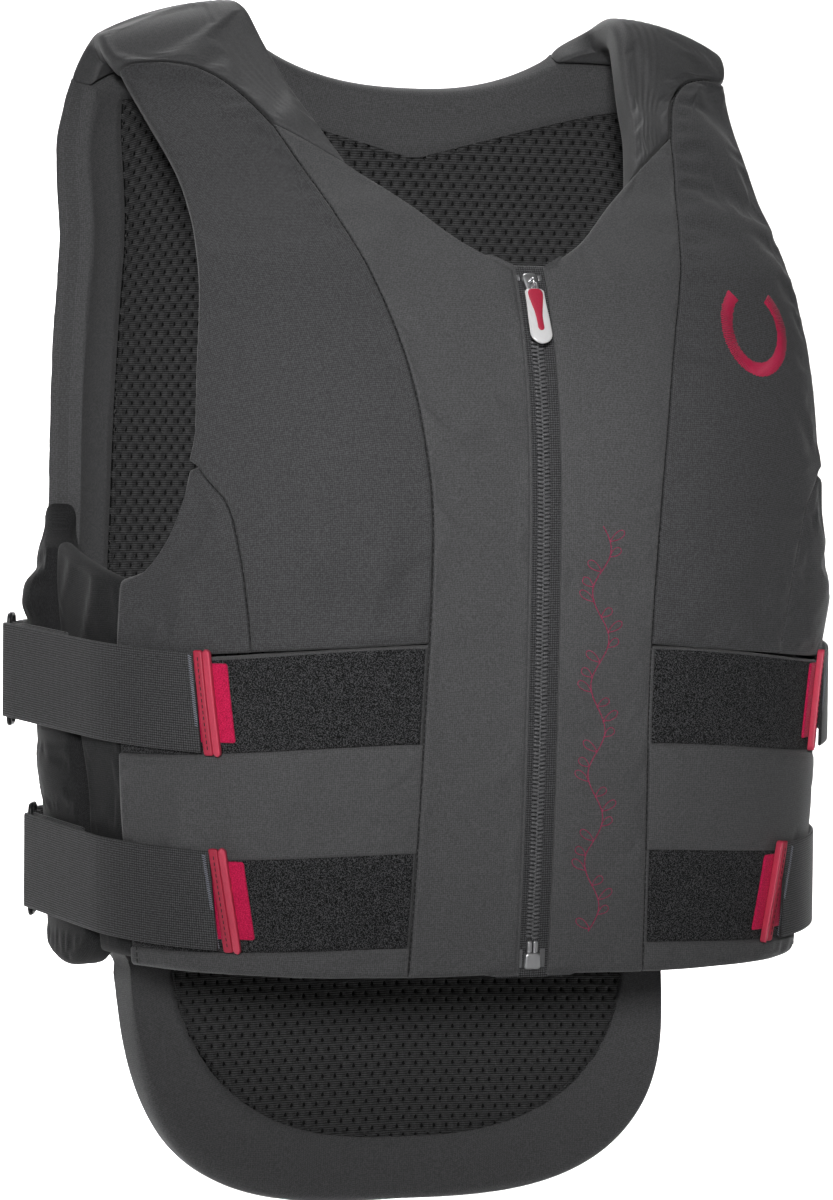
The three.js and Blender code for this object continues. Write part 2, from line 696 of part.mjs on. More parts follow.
function backWing(sign) {
  const place = (a, b) => {
    const late = a ** 6;
    const round = Math.sqrt(1 - (1 - a) ** 2);
    const foot = frontLength * lerp(0.955, 1.012, round * (1 - late) + 0.3 * late);
    const top = frontLength * lerp(0.53, 0.575, a);
    const drop = lerp(foot, top, b);
    const backEdge = byWidth(sign * (edgeAt(backArmhole, drop, sign) + 3 * seamGap), drop, 1);
    const start = 90 + (Math.atan2(backEdge.y - shoulderLineY, Math.abs(backEdge.x)) * 180) / Math.PI;
    return [sign * lerp(start, slitAngle(drop) + 0.9, a), drop];
  };
  const outer = (a, b) => {
    const past = (place(a, b)[1] / frontLength - flareDrop) / flareSpread;
    const stand = (wingOutset + wingFlare * Math.exp(-past * past)) * Math.sin(Math.PI * a);
    return onRim(a, b) ? -edgeRoll : stand;
  };
  const inner = (a, b) => -padThickness + (onRim(a, b) ? edgeRoll : 0);
  // The rows match the back pad's, so that their edges run side by side.
  const rows = [0, 0.031, 0.166, 0.345, 0.547, 0.72, 0.86, 0.98, 1];
  return padSolid(gridLines(5, 0.08), rows, byAngle, place, outer, inner);
}

// A flat band of webbing along a path in plan, standing on edge.
function ribbon(path, width, thickness) {
  const skins = [[], []];
  const last = path.length - 1;
  for (const level of [-0.5, 0.5]) {
    path.forEach((point, i) => {
      const ahead = path[Math.min(i + 1, last)].clone().sub(path[Math.max(i - 1, 0)]);
      const across = new THREE.Vector3(-ahead.y, ahead.x, 0).normalize();
      [1, -1].forEach((face, k) => {
        const edge = point.clone().addScaledVector(across, (face * thickness) / 2);
        edge.z += level * width;
        skins[k].push(edge);
      });
    });
  }
  return closeSkins(skins, path.length, 2);
}

// A half turn in plan round an upright bar, from start's side through ahead to the other side.
function halfTurn(bar, start, ahead, radius) {
  return Array.from({ length: turnSteps + 1 }, (_, i) => {
    const turn = (Math.PI * i) / turnSteps;
    return bar
      .clone()
      .addScaledVector(start, radius * Math.cos(turn))
      .addScaledVector(ahead, radius * Math.sin(turn));
  });
}

// A closed wire through a loop of points, with a section of six sides.
function wireLoop(points, radius) {
  const rings = points.map((point, i) => {
    const before = points[(i + points.length - 1) % points.length];
    const after = points[(i + 1) % points.length];
    const ahead = after.clone().sub(before).normalize();
    const side = new THREE.Vector3(1, 0, 0).cross(ahead).normalize();
    return Array.from({ length: wireSides }, (_, k) => {
      const turn = (2 * Math.PI * k) / wireSides;
      return point
        .clone()
        .addScaledVector(side, radius * Math.cos(turn))
        .addScaledVector(new THREE.Vector3(1, 0, 0), radius * Math.sin(turn));
    });
  });
  const faces = [];
  rings.forEach((_, i) => {
    const next = (i + 1) % rings.length;
    for (let k = 0; k < wireSides; k += 1) {
      const beside = (k + 1) % wireSides;
      const [a, b] = [i * wireSides + k, i * wireSides + beside];
      const [c, d] = [next * wireSides + beside, next * wireSides + k];
      faces.push(a, b, c, a, c, d);
    }
  });
  return facingOut(rings.flat(), faces);
}

// Points of a rounded rectangle in the YZ plane, round the origin.
function roundedLoop(length, height, radius) {
  const corners = [
    [1, 1, 0],
    [-1, 1, 90],
    [-1, -1, 180],
    [1, -1, 270],
  ];
  return corners.flatMap(([y, z, start]) =>
    [0, 45, 90].map((step) => {
      const turn = radians(start + step);
      return new THREE.Vector3(
        0,
        y * (length / 2 - radius) + radius * Math.cos(turn),
        z * (height / 2 - radius) + radius * Math.sin(turn)
      );
    })
  );
}

// A point on the front surface at a height, lifted straight out from it in plan.
function pointOnFront(angle, z, lift) {
  let drop = crestZ - z;
  for (let pass = 0; pass < 4; pass += 1) drop += byAngle(angle, drop).z - z;
  const point = byAngle(angle, drop);
  const normal = normalOf(byAngle, angle, drop, 0.5, 0.5).setZ(0).normalize();
  return point.addScaledVector(normal, lift);
}

// The two upright bars of a ring: the strap turns round the front one, the anchor round the rear.
function ringBars(strap, sign) {
  const lean = radians(ringLean);
  const side = halfWidthAt(crestZ - strap.ringLevel, sign) + strap.standOff;
  const front = new THREE.Vector3(sign * side, strap.ringY, strap.ringLevel);
  const step = new THREE.Vector3(-sign * Math.sin(lean), Math.cos(lean), 0).multiplyScalar(ringLength);
  return { front, rear: front.clone().add(step) };
}

// How far an upright band has to stand off to clear the surface at its upper and lower edges.
function standAt(angle, level) {
  const base = pointOnFront(angle, level, 0);
  const out = pointOnFront(angle, level, 1).sub(base);
  const proud = [-0.5, 0.5].map((half) => {
    const edge = pointOnFront(angle, level + half * strapWidth, 0);
    return edge.sub(base).setZ(0).dot(out);
  });
  return Math.max(0, ...proud);
}

function strapPath(strap, sign, side) {
  const lift = patchLift + strapThickness / 2;
  const onPad = [0, 0.25, 0.5, 0.75, 1].map((t) => {
    const angle = sign * lerp(strap[side], strapLeave, t);
    const height = strap.level + strapClimb * strap.toRing * t;
    return pointOnFront(angle, height, lift + strapRise * t + standAt(angle, height));
  });
  const { front } = ringBars(strap, sign);
  const lastOnPad = onPad[onPad.length - 1];
  const run = front.clone().sub(lastOnPad).setZ(0).normalize();
  const outward = new THREE.Vector3(sign * run.y, -sign * run.x, 0);
  const turn = halfTurn(front, outward, run, turnRadius);
  const straight = [0.3, 0.65].map((t) => lastOnPad.clone().lerp(turn[0], t));
  const returned = [0.15, 0.35, 0.6, 1].map((t) => {
    const closing = rise(t, 0, 0.35);
    const inset = lerp(2 * turnRadius, strapThickness + seatGap, closing);
    const point = turn[0].clone().lerp(lastOnPad, (strapReturn * t) / turn[0].distanceTo(lastOnPad));
    point.addScaledVector(outward, -inset);
    point.z += returnStep * closing;
    return point;
  });
  return [...onPad, ...straight, ...turn, ...returned];
}

// The anchor's webbing: from the back pad round the ring's rear bar and back under itself.
function anchorPath(strap, sign) {
  const { rear } = ringBars(strap, sign);
  const drop = crestZ - strap.ringLevel;
  const onBack = (angle, lift) => {
    const point = byAngle(sign * angle, drop);
    const normal = normalOf(byAngle, sign * angle, drop, 0.5, 0.5).setZ(0).normalize();
    const room = angle < anchorAngles[2] ? wingOutset : 0;
    return point.addScaledVector(normal, lift + room).setZ(strap.ringLevel);
  };
  const inner = anchorStand + strapThickness / 2;
  const outer = inner + strapThickness + seatGap;
  const run = rear.clone().sub(onBack(anchorAngles[0], inner)).setZ(0).normalize();
  const outward = new THREE.Vector3(-sign * run.y, sign * run.x, 0);
  const turn = halfTurn(rear, outward, run, turnRadius);
  const outerRun = anchorAngles.map((angle) => onBack(angle, outer)).reverse();
  const innerRun = anchorAngles.map((angle) => onBack(angle, inner));
  return [...outerRun, ...turn, ...innerRun];
}

// A frame in the middle of a ring, with Y from its front bar to its rear one.
function ringFrame(strap, sign) {
  const { front, rear } = ringBars(strap, sign);
  const group = new THREE.Group();
  group.position.copy(front).add(rear).multiplyScalar(0.5);
  group.rotation.z = sign * radians(ringLean);
  return group;
}
const ringHeight = strapWidth + 2 * ringOverhang;

// A flat piece on the front surface between two angles, standing a height, round a level.
function frontPlate(sign, from, to, level, height, lift, thickness, columns) {
  const surface = (angle, z) => pointOnFront(angle, z, 0);
  const place = (a, b) => [sign * lerp(from, to, a), level + (b - 0.5) * height];
  const flat = (a, b) => {
    const edge = a === 0 || a === 1 || b === 0 || b === 1;
    return edge ? plateRoll * thickness : 0;
  };
  const outer = (a, b) => lift + thickness - flat(a, b);
  const inner = (a, b) => lift + 0.3 * flat(a, b);
  return padSolid(columns, [0, 0.06, 0.5, 0.94, 1], surface, place, outer, inner);
}
const degreesPerMm = (angle, z) => {
  const near = pointOnFront(angle, z, 0);
  return 1 / near.distanceTo(pointOnFront(angle + 1, z, 0));
};

function hookPatch(strap, sign, side) {
  const end = strap[side];
  const scale = degreesPerMm(end, strap.level);
  const from = end - (gripWidth + seatGap + patchShows) * scale;
  const to = from + patchLength * scale;
  const columns = [0, 0.08, 0.36, 0.64, 0.92, 1];
  const lift = bandTop + seatGap;
  return frontPlate(sign, from, to, strap.level, patchHeight, lift, patchThickness, columns);
}

function gripTab(strap, sign, side) {
  const end = strap[side];
  const scale = degreesPerMm(end, strap.level);
  const from = end - (gripWidth + 2 * seatGap) * scale;
  const columns = [0, 0.2, 0.8, 1];
  const to = end - 2 * seatGap * scale;
  return frontPlate(sign, from, to, strap.level, gripHeight, patchLift, gripThickness, columns);
}

// Zip parts follow the front surface along the middle line, measured outwards from it.
function zipStrip(from, to, top, bottom, outer, thickness, count) {
  const place = (a, b) => [lerp(from, to, a), lerp(bottom, top, b)];
  const rows = Array.from({ length: count }, (_, i) => i / (count - 1));
  const surface = (x, drop) => byWidth(x, drop, -1);
  return padSolid([0, 1], rows, surface, place, () => outer, () => outer - thickness);
}

// A frame at a drop on the middle line: X across, Y up the zip, Z out of it.
function zipFrame(drop, lift) {
  const surface = (x, at) => byWidth(x, at, -1);
  const normal = normalOf(surface, 0, drop, 0.5, 0.5);
  const group = new THREE.Group();
  group.position.copy(surface(0, drop)).addScaledVector(normal, lift);
  const across = new THREE.Vector3(1, 0, 0);
  const up = normal.clone().cross(across);
  group.quaternion.setFromRotationMatrix(new THREE.Matrix4().makeBasis(across, up, normal));
  return group;
}

function toManifold(geometry) {
  const bare = geometry.clone();
  bare.deleteAttribute('normal');
  bare.deleteAttribute('uv');
  const merged = mergeVertices(bare, 1e-4);
  return new wasm.Manifold(
    new wasm.Mesh({
      numProp: 3,
      vertProperties: new Float32Array(merged.attributes.position.array),
      triVerts: new Uint32Array(merged.index.array),
    })
  );
}

function fromManifold(solid) {
  const result = solid.getMesh();
  const geometry = new THREE.BufferGeometry();
  geometry.setAttribute('position', new THREE.BufferAttribute(result.vertProperties, 3));
  geometry.setIndex(new THREE.BufferAttribute(result.triVerts, 1));
  geometry.computeVertexNormals();
  return geometry;
}

// A plate extruded from a rounded rectangle, its back on the plane of the group.
function roundedPlate(width, length, thickness, corner, bevel) {
  const shape = new THREE.Shape();
  const [w, l] = [width / 2 - bevel, length / 2 - bevel];
  shape.moveTo(-w + corner, -l);
  shape.lineTo(w - corner, -l);
  shape.absarc(w - corner, -l + corner, corner, -Math.PI / 2, 0);
  shape.lineTo(w, l - corner);
  shape.absarc(w - corner, l - corner, corner, 0, Math.PI / 2);
  shape.lineTo(-w + corner, l);
  shape.absarc(-w + corner, l - corner, corner, Math.PI / 2, Math.PI);
  shape.lineTo(-w, -l + corner);
  shape.absarc(-w + corner, -l + corner, corner, Math.PI, 1.5 * Math.PI);
  const geometry = new THREE.ExtrudeGeometry(shape, {
    depth: thickness - 2 * bevel,
    bevelEnabled: bevel > 0,
    bevelThickness: bevel,
    bevelSize: bevel,
    bevelSegments: 1,
    curveSegments: 3,
  });
  return geometry.translate(0, 0, bevel);
}

// The slider: a plate with a bail that arches along the zip over the puller's bar.
function sliderSolid() {
  const body = toManifold(roundedPlate(sliderWidth, sliderLength, sliderThickness, 2, 0.5));
  const outer = toManifold(bailArch(bailRadius + bailWire / 2));
  const hollow = toManifold(bailArch(bailRadius - bailWire / 2, 1));
  return fromManifold(outer.subtract(hollow).add(body));
}

// Half a disc standing across the slider, for the bail or (wider) for the eye under it.
function bailArch(radius, extra = 0) {
  const width = bailWidth + extra;
  const shape = new THREE.Shape();
  const foot = extra ? 0 : -0.4;
  shape.moveTo(radius, foot);
  shape.lineTo(radius, bailSpring);
  shape.absarc(0, bailSpring, radius, 0, Math.PI);
  shape.lineTo(-radius, foot);
  const options = { depth: width, bevelEnabled: false, curveSegments: 8 };
  const geometry = new THREE.ExtrudeGeometry(shape, options);
  geometry.translate(0, 0, -width / 2);
  geometry.applyMatrix4(
    new THREE.Matrix4().makeBasis(
      new THREE.Vector3(0, 1, 0),
      new THREE.Vector3(0, 0, 1),
      new THREE.Vector3(1, 0, 0)
    )
  );
  return geometry.translate(0, 0, sliderThickness);
}

// The puller's wire: a closed loop whose top bar runs through the bail at the origin.
function linkLoop(radius) {
  const inside = bailWidth + 2 * linkPlay;
  const loopWire = wireLoop(roundedLoop(linkReach, inside + linkWire, linkWire * 0.8), radius);
  return loopWire.rotateY(Math.PI / 2).translate(0, -linkReach / 2, 0);
}

// The puller's clear rim, moulded round the wire's lower bar, with a window for the core.
function pullerRimSolid() {
  const plate = roundedPlate(pullerWidth, pullerLength, pullerThickness, 4, 0.4);
  const window = roundedPlate(windowWidth, windowLength, 2 * pullerThickness, 2.5, 0);
  plate.translate(0, -pullerCentre, -pullerThickness / 2);
  window.translate(0, -pullerCentre - windowShift, -pullerThickness);
  const wire = toManifold(linkLoop(linkWire / 2 + seatGap));
  return fromManifold(toManifold(plate).subtract(toManifold(window)).subtract(wire));
}
const windowWidth = pullerWidth - 2 * pullerRim;
const windowLength = pullerLength - 4 * pullerRim;
const windowShift = pullerRim;
const pullerCentre = linkReach - 2 * linkWire + pullerLength / 2;

function pullerCoreSolid() {
  const width = windowWidth - 2 * seatGap;
  const length = windowLength - 2 * seatGap;
  const core = roundedPlate(width, length, pullerThickness, 2.5 - seatGap, 0.3);
  return core.translate(0, -pullerCentre - windowShift, -pullerThickness / 2);
}

function boxSolid() {
  const box = roundedPlate(boxWidth, boxHeight, boxThickness, 1, 0.4).translate(0, boxHeight / 2, 0);
  const pins = [-1, 1].map((side) => {
    const pin = roundedPlate(pinWidth, pinHeight + 1, chainThickness, 0.6, 0);
    return toManifold(pin.translate(side * (pinWidth / 2 + 0.4), boxHeight + pinHeight / 2 - 0.5, 0.2));
  });
  return fromManifold(toManifold(box).add(pins[0]).add(pins[1]));
}

// Assembly.
const seat = -tapeSeat + seatGap; // the zip's metal lies on the tape here
const zipFoot = hemDrop - 3;
const zipTopDrop = centreTopDrop(0) + zipSetback;
addMesh(vest, 'back_pad', backPad(), fabric);
addMesh(vest, 'back_lining', backLining(), mesh);
for (const { name, sign } of sides) {
  addMesh(vest, `centre_pad_${name}`, centrePad(sign), fabric);
  addMesh(vest, `chest_pad_${name}`, chestPad(sign), stretch);
  addMesh(vest, `underarm_pad_${name}`, underarmPad(sign), stretch);
  addMesh(vest, `waist_pad_${name}`, waistPad(sign), fabric);
  addMesh(vest, `yoke_${name}`, yokePad(sign), fabric);
  addMesh(vest, `front_wing_${name}`, frontWing(sign), fabric);
  addMesh(vest, `back_wing_${name}`, backWing(sign), fabric);
  addMesh(vest, `loop_band_upper_${name}`, loopBand(sign, upperBandDrop), loop);
  addMesh(vest, `loop_band_lower_${name}`, loopBand(sign, lowerBandDrop), loop);
  for (const row of straps) {
    const strap = strapOn(row, sign);
    const label = `${strap.name}_${name}`;
    const belt = ribbon(strapPath(strap, sign, name), strapWidth, strapThickness);
    const anchor = ribbon(anchorPath(strap, sign), strapWidth, strapThickness);
    addMesh(vest, `strap_${label}`, belt, webbing);
    addMesh(vest, `anchor_${label}`, anchor, webbing);
    addMesh(vest, `hook_patch_${label}`, hookPatch(strap, sign, name), patch);
    addMesh(vest, `grip_${label}`, gripTab(strap, sign, name), red);
    const ring = ringFrame(strap, sign);
    const wire = wireLoop(roundedLoop(ringLength, ringHeight, ringCorner), ringWire / 2);
    addMesh(ring, `ring_${label}`, wire, dark);
    vest.add(ring);
  }
  const tapeFrom = Math.min(sign * 0.2, sign * (zipEdge + zipLap));
  const tapeTo = Math.max(sign * 0.2, sign * (zipEdge + zipLap));
  const tape = zipStrip(tapeFrom, tapeTo, zipTopDrop - tapeAbove, zipFoot, -tapeSeat, tapeThickness, 12);
  addMesh(vest, `zip_tape_${name}`, tape, webbing);
}

const sliderDrop = zipTopDrop + sliderLength / 2;
const slider = zipFrame(sliderDrop, seat);
addMesh(slider, 'zip_slider', sliderSolid(), silver);
const puller = new THREE.Group();
puller.position.set(0, 0, sliderThickness + bailSpring);
addMesh(puller, 'pull_link', linkLoop(linkWire / 2), silver);
addMesh(puller, 'pull_rim', pullerRimSolid(), clear);
addMesh(puller, 'pull_core', pullerCoreSolid(), red);
slider.add(puller);
for (const { name, sign } of sides) {
  const stop = roundedPlate(stopWidth, stopHeight, stopThickness, 0.5, 0.2);
  stop.translate(sign * (sliderWidth / 2 + seatGap + stopWidth / 2), (sliderLength - stopHeight) / 2, 0);
  addMesh(slider, `zip_stop_${name}`, stop, silver);
}
vest.add(slider);

const foot = zipFrame(zipFoot, seat);
addMesh(foot, 'zip_box', boxSolid(), silver);
for (const { name, sign } of sides) {
  const film = roundedPlate(filmWidth, filmHeight, filmThickness, 0.8, 0);
  film.translate(sign * (boxWidth / 2 + seatGap + filmWidth / 2), filmHeight / 2, 0);
  addMesh(foot, `zip_film_${name}`, film, clear);
}
vest.add(foot);

const chainTop = sliderDrop + sliderLength / 2 + seatGap;
const chainFoot = zipFoot - boxHeight - pinHeight - seatGap;
const chainFace = seat + chainThickness;
const chain = zipStrip(
  -chainHalfWidth, chainHalfWidth, chainTop, chainFoot, chainFace, chainThickness, 16
);
addMesh(vest, 'zip_chain', chain, coil);

export default vest;
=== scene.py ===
"""Looks of a padded riding vest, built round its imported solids.

Shapes are worked out in millimetres on the vest's own form and turned to metres when their mesh
is made. X is the wearer's left, the front faces -Y and Z is up.
"""

import logging
import math
from dataclasses import dataclass
from enum import Enum
from typing import Callable, NamedTuple

import bpy
import numpy as np
from mathutils import Matrix
from numpy.typing import NDArray


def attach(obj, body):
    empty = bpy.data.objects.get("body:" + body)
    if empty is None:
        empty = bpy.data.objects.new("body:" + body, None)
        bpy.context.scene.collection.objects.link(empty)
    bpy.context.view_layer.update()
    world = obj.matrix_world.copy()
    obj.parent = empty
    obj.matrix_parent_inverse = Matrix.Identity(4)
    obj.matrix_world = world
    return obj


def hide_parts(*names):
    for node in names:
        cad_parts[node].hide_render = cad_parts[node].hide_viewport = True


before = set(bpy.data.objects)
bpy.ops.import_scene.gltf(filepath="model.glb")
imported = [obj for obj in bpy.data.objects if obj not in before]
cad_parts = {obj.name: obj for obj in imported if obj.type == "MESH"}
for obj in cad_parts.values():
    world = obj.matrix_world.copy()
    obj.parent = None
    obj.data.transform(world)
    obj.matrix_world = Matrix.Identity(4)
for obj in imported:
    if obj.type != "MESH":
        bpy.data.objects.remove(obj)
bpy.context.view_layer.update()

log = logging.getLogger("vest")
Array = NDArray[np.float64]
Faces = list[Array]
Surface = Callable[[Array, Array], Array]

MM = 0.001
VEST = "vest"
PULL = "pull"


class Side(Enum):
    """The wearer's right or left, by the sign of X."""

    RIGHT = -1
    LEFT = 1

    @property
    def label(self) -> str:
        """The side's name in the names of pieces."""
        return self.name.lower()


class Face(Enum):
    """The front or back half of the form, by the sign of Y."""

    FRONT = -1
    BACK = 1


# Small sums on arrays.


def lerp(a: Array, b: Array, t: Array) -> Array:
    """The straight mix of a and b: a at t 0 and b at t 1."""
    return a + (b - a) * t


def rise(value: Array, low: float, high: float) -> Array:
    """A smooth step: 0 below low, 1 above high, and t squared times (3 - 2t) between."""
    t = np.clip((np.asarray(value, float) - low) / (high - low), 0, 1)
    return t * t * (3 - 2 * t)


def unit(vectors: Array) -> Array:
    """Vectors along the last axis divided by their lengths."""
    return vectors / np.maximum(np.linalg.norm(vectors, axis=-1, keepdims=True), 1e-12)


def hump(value: Array, middle: float, width: float) -> Array:
    """A bell: exp of minus the square of the distance from the middle over the width."""
    return np.exp(-(((np.asarray(value, float) - middle) / width) ** 2))


def ripple(x: Array, y: Array, size: float, seed: int, waves: int = 9) -> Array:
    """Smooth uneven ground between about -1 and 1.

    The mean of a few sine waves of about one length, in directions and phases from a seed.

    Args:
        x: First coordinate, mm.
        y: Second coordinate, mm.
        size: Length of the waves, mm.
        seed: Number that fixes directions and phases.
        waves: How many waves are added.

    Returns:
        The heights, shaped like x.
    """
    draw = np.random.default_rng(seed)
    ground = np.zeros(np.broadcast(x, y).shape)
    for heading, phase, stretch in zip(
        draw.uniform(0, math.pi, waves), draw.uniform(0, 2 * math.pi, waves), draw.uniform(0.7, 1.5, waves)
    ):
        run = x * math.cos(heading) + y * math.sin(heading)
        ground += np.sin(2 * math.pi * run / (size * stretch) + phase)
    return ground / math.sqrt(waves)


@dataclass(frozen=True)
class Curve:
    """A smooth value along rows of (place, value)."""

    rows: tuple[tuple[float, float], ...]
    rooted: bool = False

    def __call__(self, at: Array) -> Array:
        """Cubic Hermite through the rows, with slopes from their neighbours and level ends.

        Args:
            at: Places to read, read along their square root if the curve is rooted.

        Returns:
            The values there.
        """
        keys, values = np.array(self.rows).T
        if self.rooted:
            keys, at = np.sqrt(keys), np.sqrt(np.maximum(at, 0))
        last = len(keys) - 1
        behind, ahead = np.maximum(np.arange(last + 1) - 1, 0), np.minimum(np.arange(last + 1) + 1, last)
        slopes = (values[ahead] - values[behind]) / (keys[ahead] - keys[behind])
        at = np.clip(at, keys[0], keys[-1])
        i = np.clip(np.searchsorted(keys, at, side="right") - 1, 0, last - 1)
        step = keys[i + 1] - keys[i]
        t = (at - keys[i]) / step
        return (
            (2 * t**3 - 3 * t**2 + 1) * values[i]
            + (t**3 - 2 * t**2 + t) * step * slopes[i]
            + (3 * t**2 - 2 * t**3) * values[i + 1]
            + (t**3 - t**2) * step * slopes[i + 1]
        )


# Edges of the pads: drop below the shoulders as a share of the front's length, against width as
# a share of half the vest's width.
PRINCESS_SEAM = Curve(
    ((0.139, 0.526), (0.172, 0.5), (0.225, 0.453), (0.32, 0.379), (0.379, 0.341), (0.445, 0.313),
     (0.525, 0.291), (0.66, 0.284), (0.865, 0.294), (1, 0.303))
)
FRONT_ARMHOLE = Curve(
    ((0.02, 0.835), (0.045, 0.823), (0.085, 0.803), (0.13, 0.787), (0.196, 0.773), (0.29, 0.788),
     (0.387, 0.81), (0.484, 0.825), (0.55, 0.857), (0.59, 0.9), (0.6, 0.935))
)
UNDERARM_SEAM = Curve(
    ((0.478, 0.822), (0.5, 0.79), (0.524, 0.75), (0.572, 0.72), (0.625, 0.697), (0.68, 0.678))
)
YOKE_EDGE = Curve(
    ((0, 0.855), (0.025, 0.845), (0.041, 0.818), (0.048, 0.765), (0.056, 0.71), (0.07, 0.647),
     (0.098, 0.583), (0.137, 0.53))
)
BACK_ARMHOLE = Curve(
    ((0, 0.855), (0.024, 0.885), (0.058, 0.915), (0.1, 0.94), (0.2, 0.955), (0.4, 0.965),
     (0.55, 0.965), (0.9, 0.945), (0.97, 0.84), (1.02, 0.757))
)
LINING_EDGE = Curve(((0.05, 0.79), (0.35, 0.815), (0.6, 0.83), (0.8, 0.78), (0.98, 0.645)))
# The neck edge's widths are shares of half the neck's width.
NECK_EDGE = Curve(((0, 1), (0.03, 0.98), (0.074, 0.93), (0.117, 0.87), (0.15, 0.81), (0.185, 0.74)))
# Top edge of the centre pads: place from the zip to the princess seam, against drop.
CENTRE_TOP = Curve(((0, 0.286), (0.12, 0.276), (0.33, 0.254), (0.55, 0.216), (0.78, 0.177), (1, 0.139)))
# Slit between the wings: drop against degrees round the section.
WING_SLIT = Curve(((0.55, 87.5), (0.62, 86), (0.68, 82.5), (0.77, 75.5), (0.9, 74), (1, 73.5)))


@dataclass(frozen=True)
class Form:
    """The vest's outer surface: superellipse sections stacked by their drop below the shoulders.

    Lengths are in mm. A point is found by its half width and drop, or by its angle round the
    section (0 at the front, 90 at the side, 180 at the back) and drop.
    """

    length: float = 512
    tail: float = 151
    width: float = 428
    front_depth: float = 178
    back_depth: float = 60
    shoulder_y: float = 10
    crest: float = 23
    bust_rise: float = 8
    waist_sway: float = 0.03
    shoulder_sway: float = 0.05
    squareness: float = 3
    shoulder_start: float = 100
    right_fall: float = 27
    left_fall: float = 34
    left_lean: float = 0.028
    neck_half: float = 106
    nape_draw: float = 20
    side_edge: float = 64
    band_height: float = 50
    band_side_fall: float = 9
    hem_fall: float = 0.3
    sections: Curve = Curve(
        ((0, 0.9), (0.1, 0.948), (0.2, 0.963), (0.29, 0.981), (0.4, 0.996), (0.53, 1), (0.7, 0.987),
         (0.85, 0.966), (1, 0.94), (1.3, 0.93))
    )
    front_profile: Curve = Curve(
        ((0, 0), (0.006, 0.115), (0.049, 0.252), (0.092, 0.356), (0.137, 0.48), (0.195, 0.62),
         (0.24, 0.74), (0.291, 0.857), (0.387, 0.955), (0.49, 0.994), (0.605, 1), (0.74, 0.994),
         (0.88, 0.97), (1, 0.935)),
        rooted=True,
    )
    back_profile: Curve = Curve(
        ((0, 0), (0.006, 0.26), (0.035, 0.48), (0.082, 0.62), (0.15, 0.7), (0.27, 0.86), (0.39, 0.97),
         (0.51, 1), (0.645, 0.96), (0.78, 0.88), (0.92, 0.81), (1.04, 0.76), (1.17, 0.72), (1.3, 0.72)),
        rooted=True,
    )

    @property
    def hem(self) -> float:
        """Drop of the front hem."""
        return self.length - 3

    @property
    def back_end(self) -> float:
        """Drop at which the shoulder straps meet the back pad."""
        return 0.034 * self.length

    @property
    def tip(self) -> float:
        """Drop of the tail's tip."""
        return self.length + self.tail

    @property
    def upper_band(self) -> float:
        """Drop of the upper loop band's top at the princess seam."""
        return 0.662 * self.length

    @property
    def lower_band(self) -> float:
        """Drop of the lower loop band's top at the princess seam."""
        return self.hem - 16 - self.band_height

    def swayed(self, drop: Array, sign: Array) -> Array:
        """Share of the width on one side: the waist and shoulders stand out more to the right."""
        at = drop / self.length
        waist = self.waist_sway * rise(at, 0.5, 0.75) * rise(-at, -1.2, -1)
        return 1 - sign * (waist + self.shoulder_sway * (1 - rise(at, 0.03, 0.25)))

    def half_width(self, drop: Array, sign: Array) -> Array:
        """Half the section's width on one side."""
        return self.width / 2 * self.sections(drop / self.length) * self.swayed(drop, sign)

    def depth(self, drop: Array, face: Face) -> Array:
        """Depth of the section before or behind the shoulder line."""
        if face is Face.FRONT:
            return self.front_depth * self.front_profile(drop / self.length)
        return self.back_depth * self.back_profile(drop / self.length)

    def height(self, x: Array, drop: Array) -> Array:
        """Height of a point: crest less drop, shoulder's fall (which fades down the chest) and lean."""
        past = np.maximum(np.abs(x) - self.shoulder_start, 0) / 100
        fall = np.where(np.asarray(x) < 0, self.right_fall, self.left_fall) * past**2
        lean = self.left_lean * np.maximum(x, 0) * rise(drop / self.length, 0.4, 0.7)
        return self.crest - drop - lean - fall * (1 - rise(drop / self.length, 0.04, 0.47))

    def bust(self, x: Array, drop: Array) -> Array:
        """Extra fullness of the chest: a bell on each side of the zip."""
        across = (np.abs(x) / (self.width / 2) - 0.4) / 0.3
        down = (drop / self.length - 0.5) / 0.17
        return self.bust_rise * np.exp(-(across**2) - down**2)

    def by_width(self, x: Array, drop: Array, face: Face) -> Array:
        """Points of the front or back surface: (x, shoulder line plus depth times taper, height)."""
        share = np.clip(np.abs(x) / self.half_width(drop, np.sign(x)), 0, 1)
        taper = (1 - share**self.squareness) ** (1 / self.squareness)
        depth = self.depth(drop, face) * taper
        if face is Face.FRONT:
            depth = depth + self.bust(x, drop)
        y = self.shoulder_y + face.value * depth
        return np.stack(np.broadcast_arrays(x, y, self.height(x, drop)), -1)

    def by_angle(self, angle: Array, drop: Array) -> Array:
        """Points where a ray at an angle meets the section's superellipse."""
        turn = np.radians(np.abs(angle))
        across = np.abs(np.sin(turn)) / self.half_width(drop, np.sign(angle))
        front = np.cos(turn) > 0
        depth = np.where(front, self.depth(drop, Face.FRONT), self.depth(drop, Face.BACK))
        ahead = np.abs(np.cos(turn)) / depth
        reach = (across**self.squareness + ahead**self.squareness) ** (-1 / self.squareness)
        x = np.sign(angle) * reach * np.sin(turn)
        y = self.shoulder_y - reach * np.cos(turn) - np.where(front, self.bust(x, drop), 0)
        return np.stack(np.broadcast_arrays(x, y, self.height(x, drop)), -1)

    def angle_of(self, x: Array, drop: Array, sign: int) -> Array:
        """Angle at which the front surface has half width x, in degrees."""
        share = np.clip(x / self.half_width(drop, sign), 0, 1)
        ahead = self.depth(drop, Face.FRONT) * (1 - share**self.squareness) ** (1 / self.squareness)
        return np.degrees(np.arctan2(x, ahead))

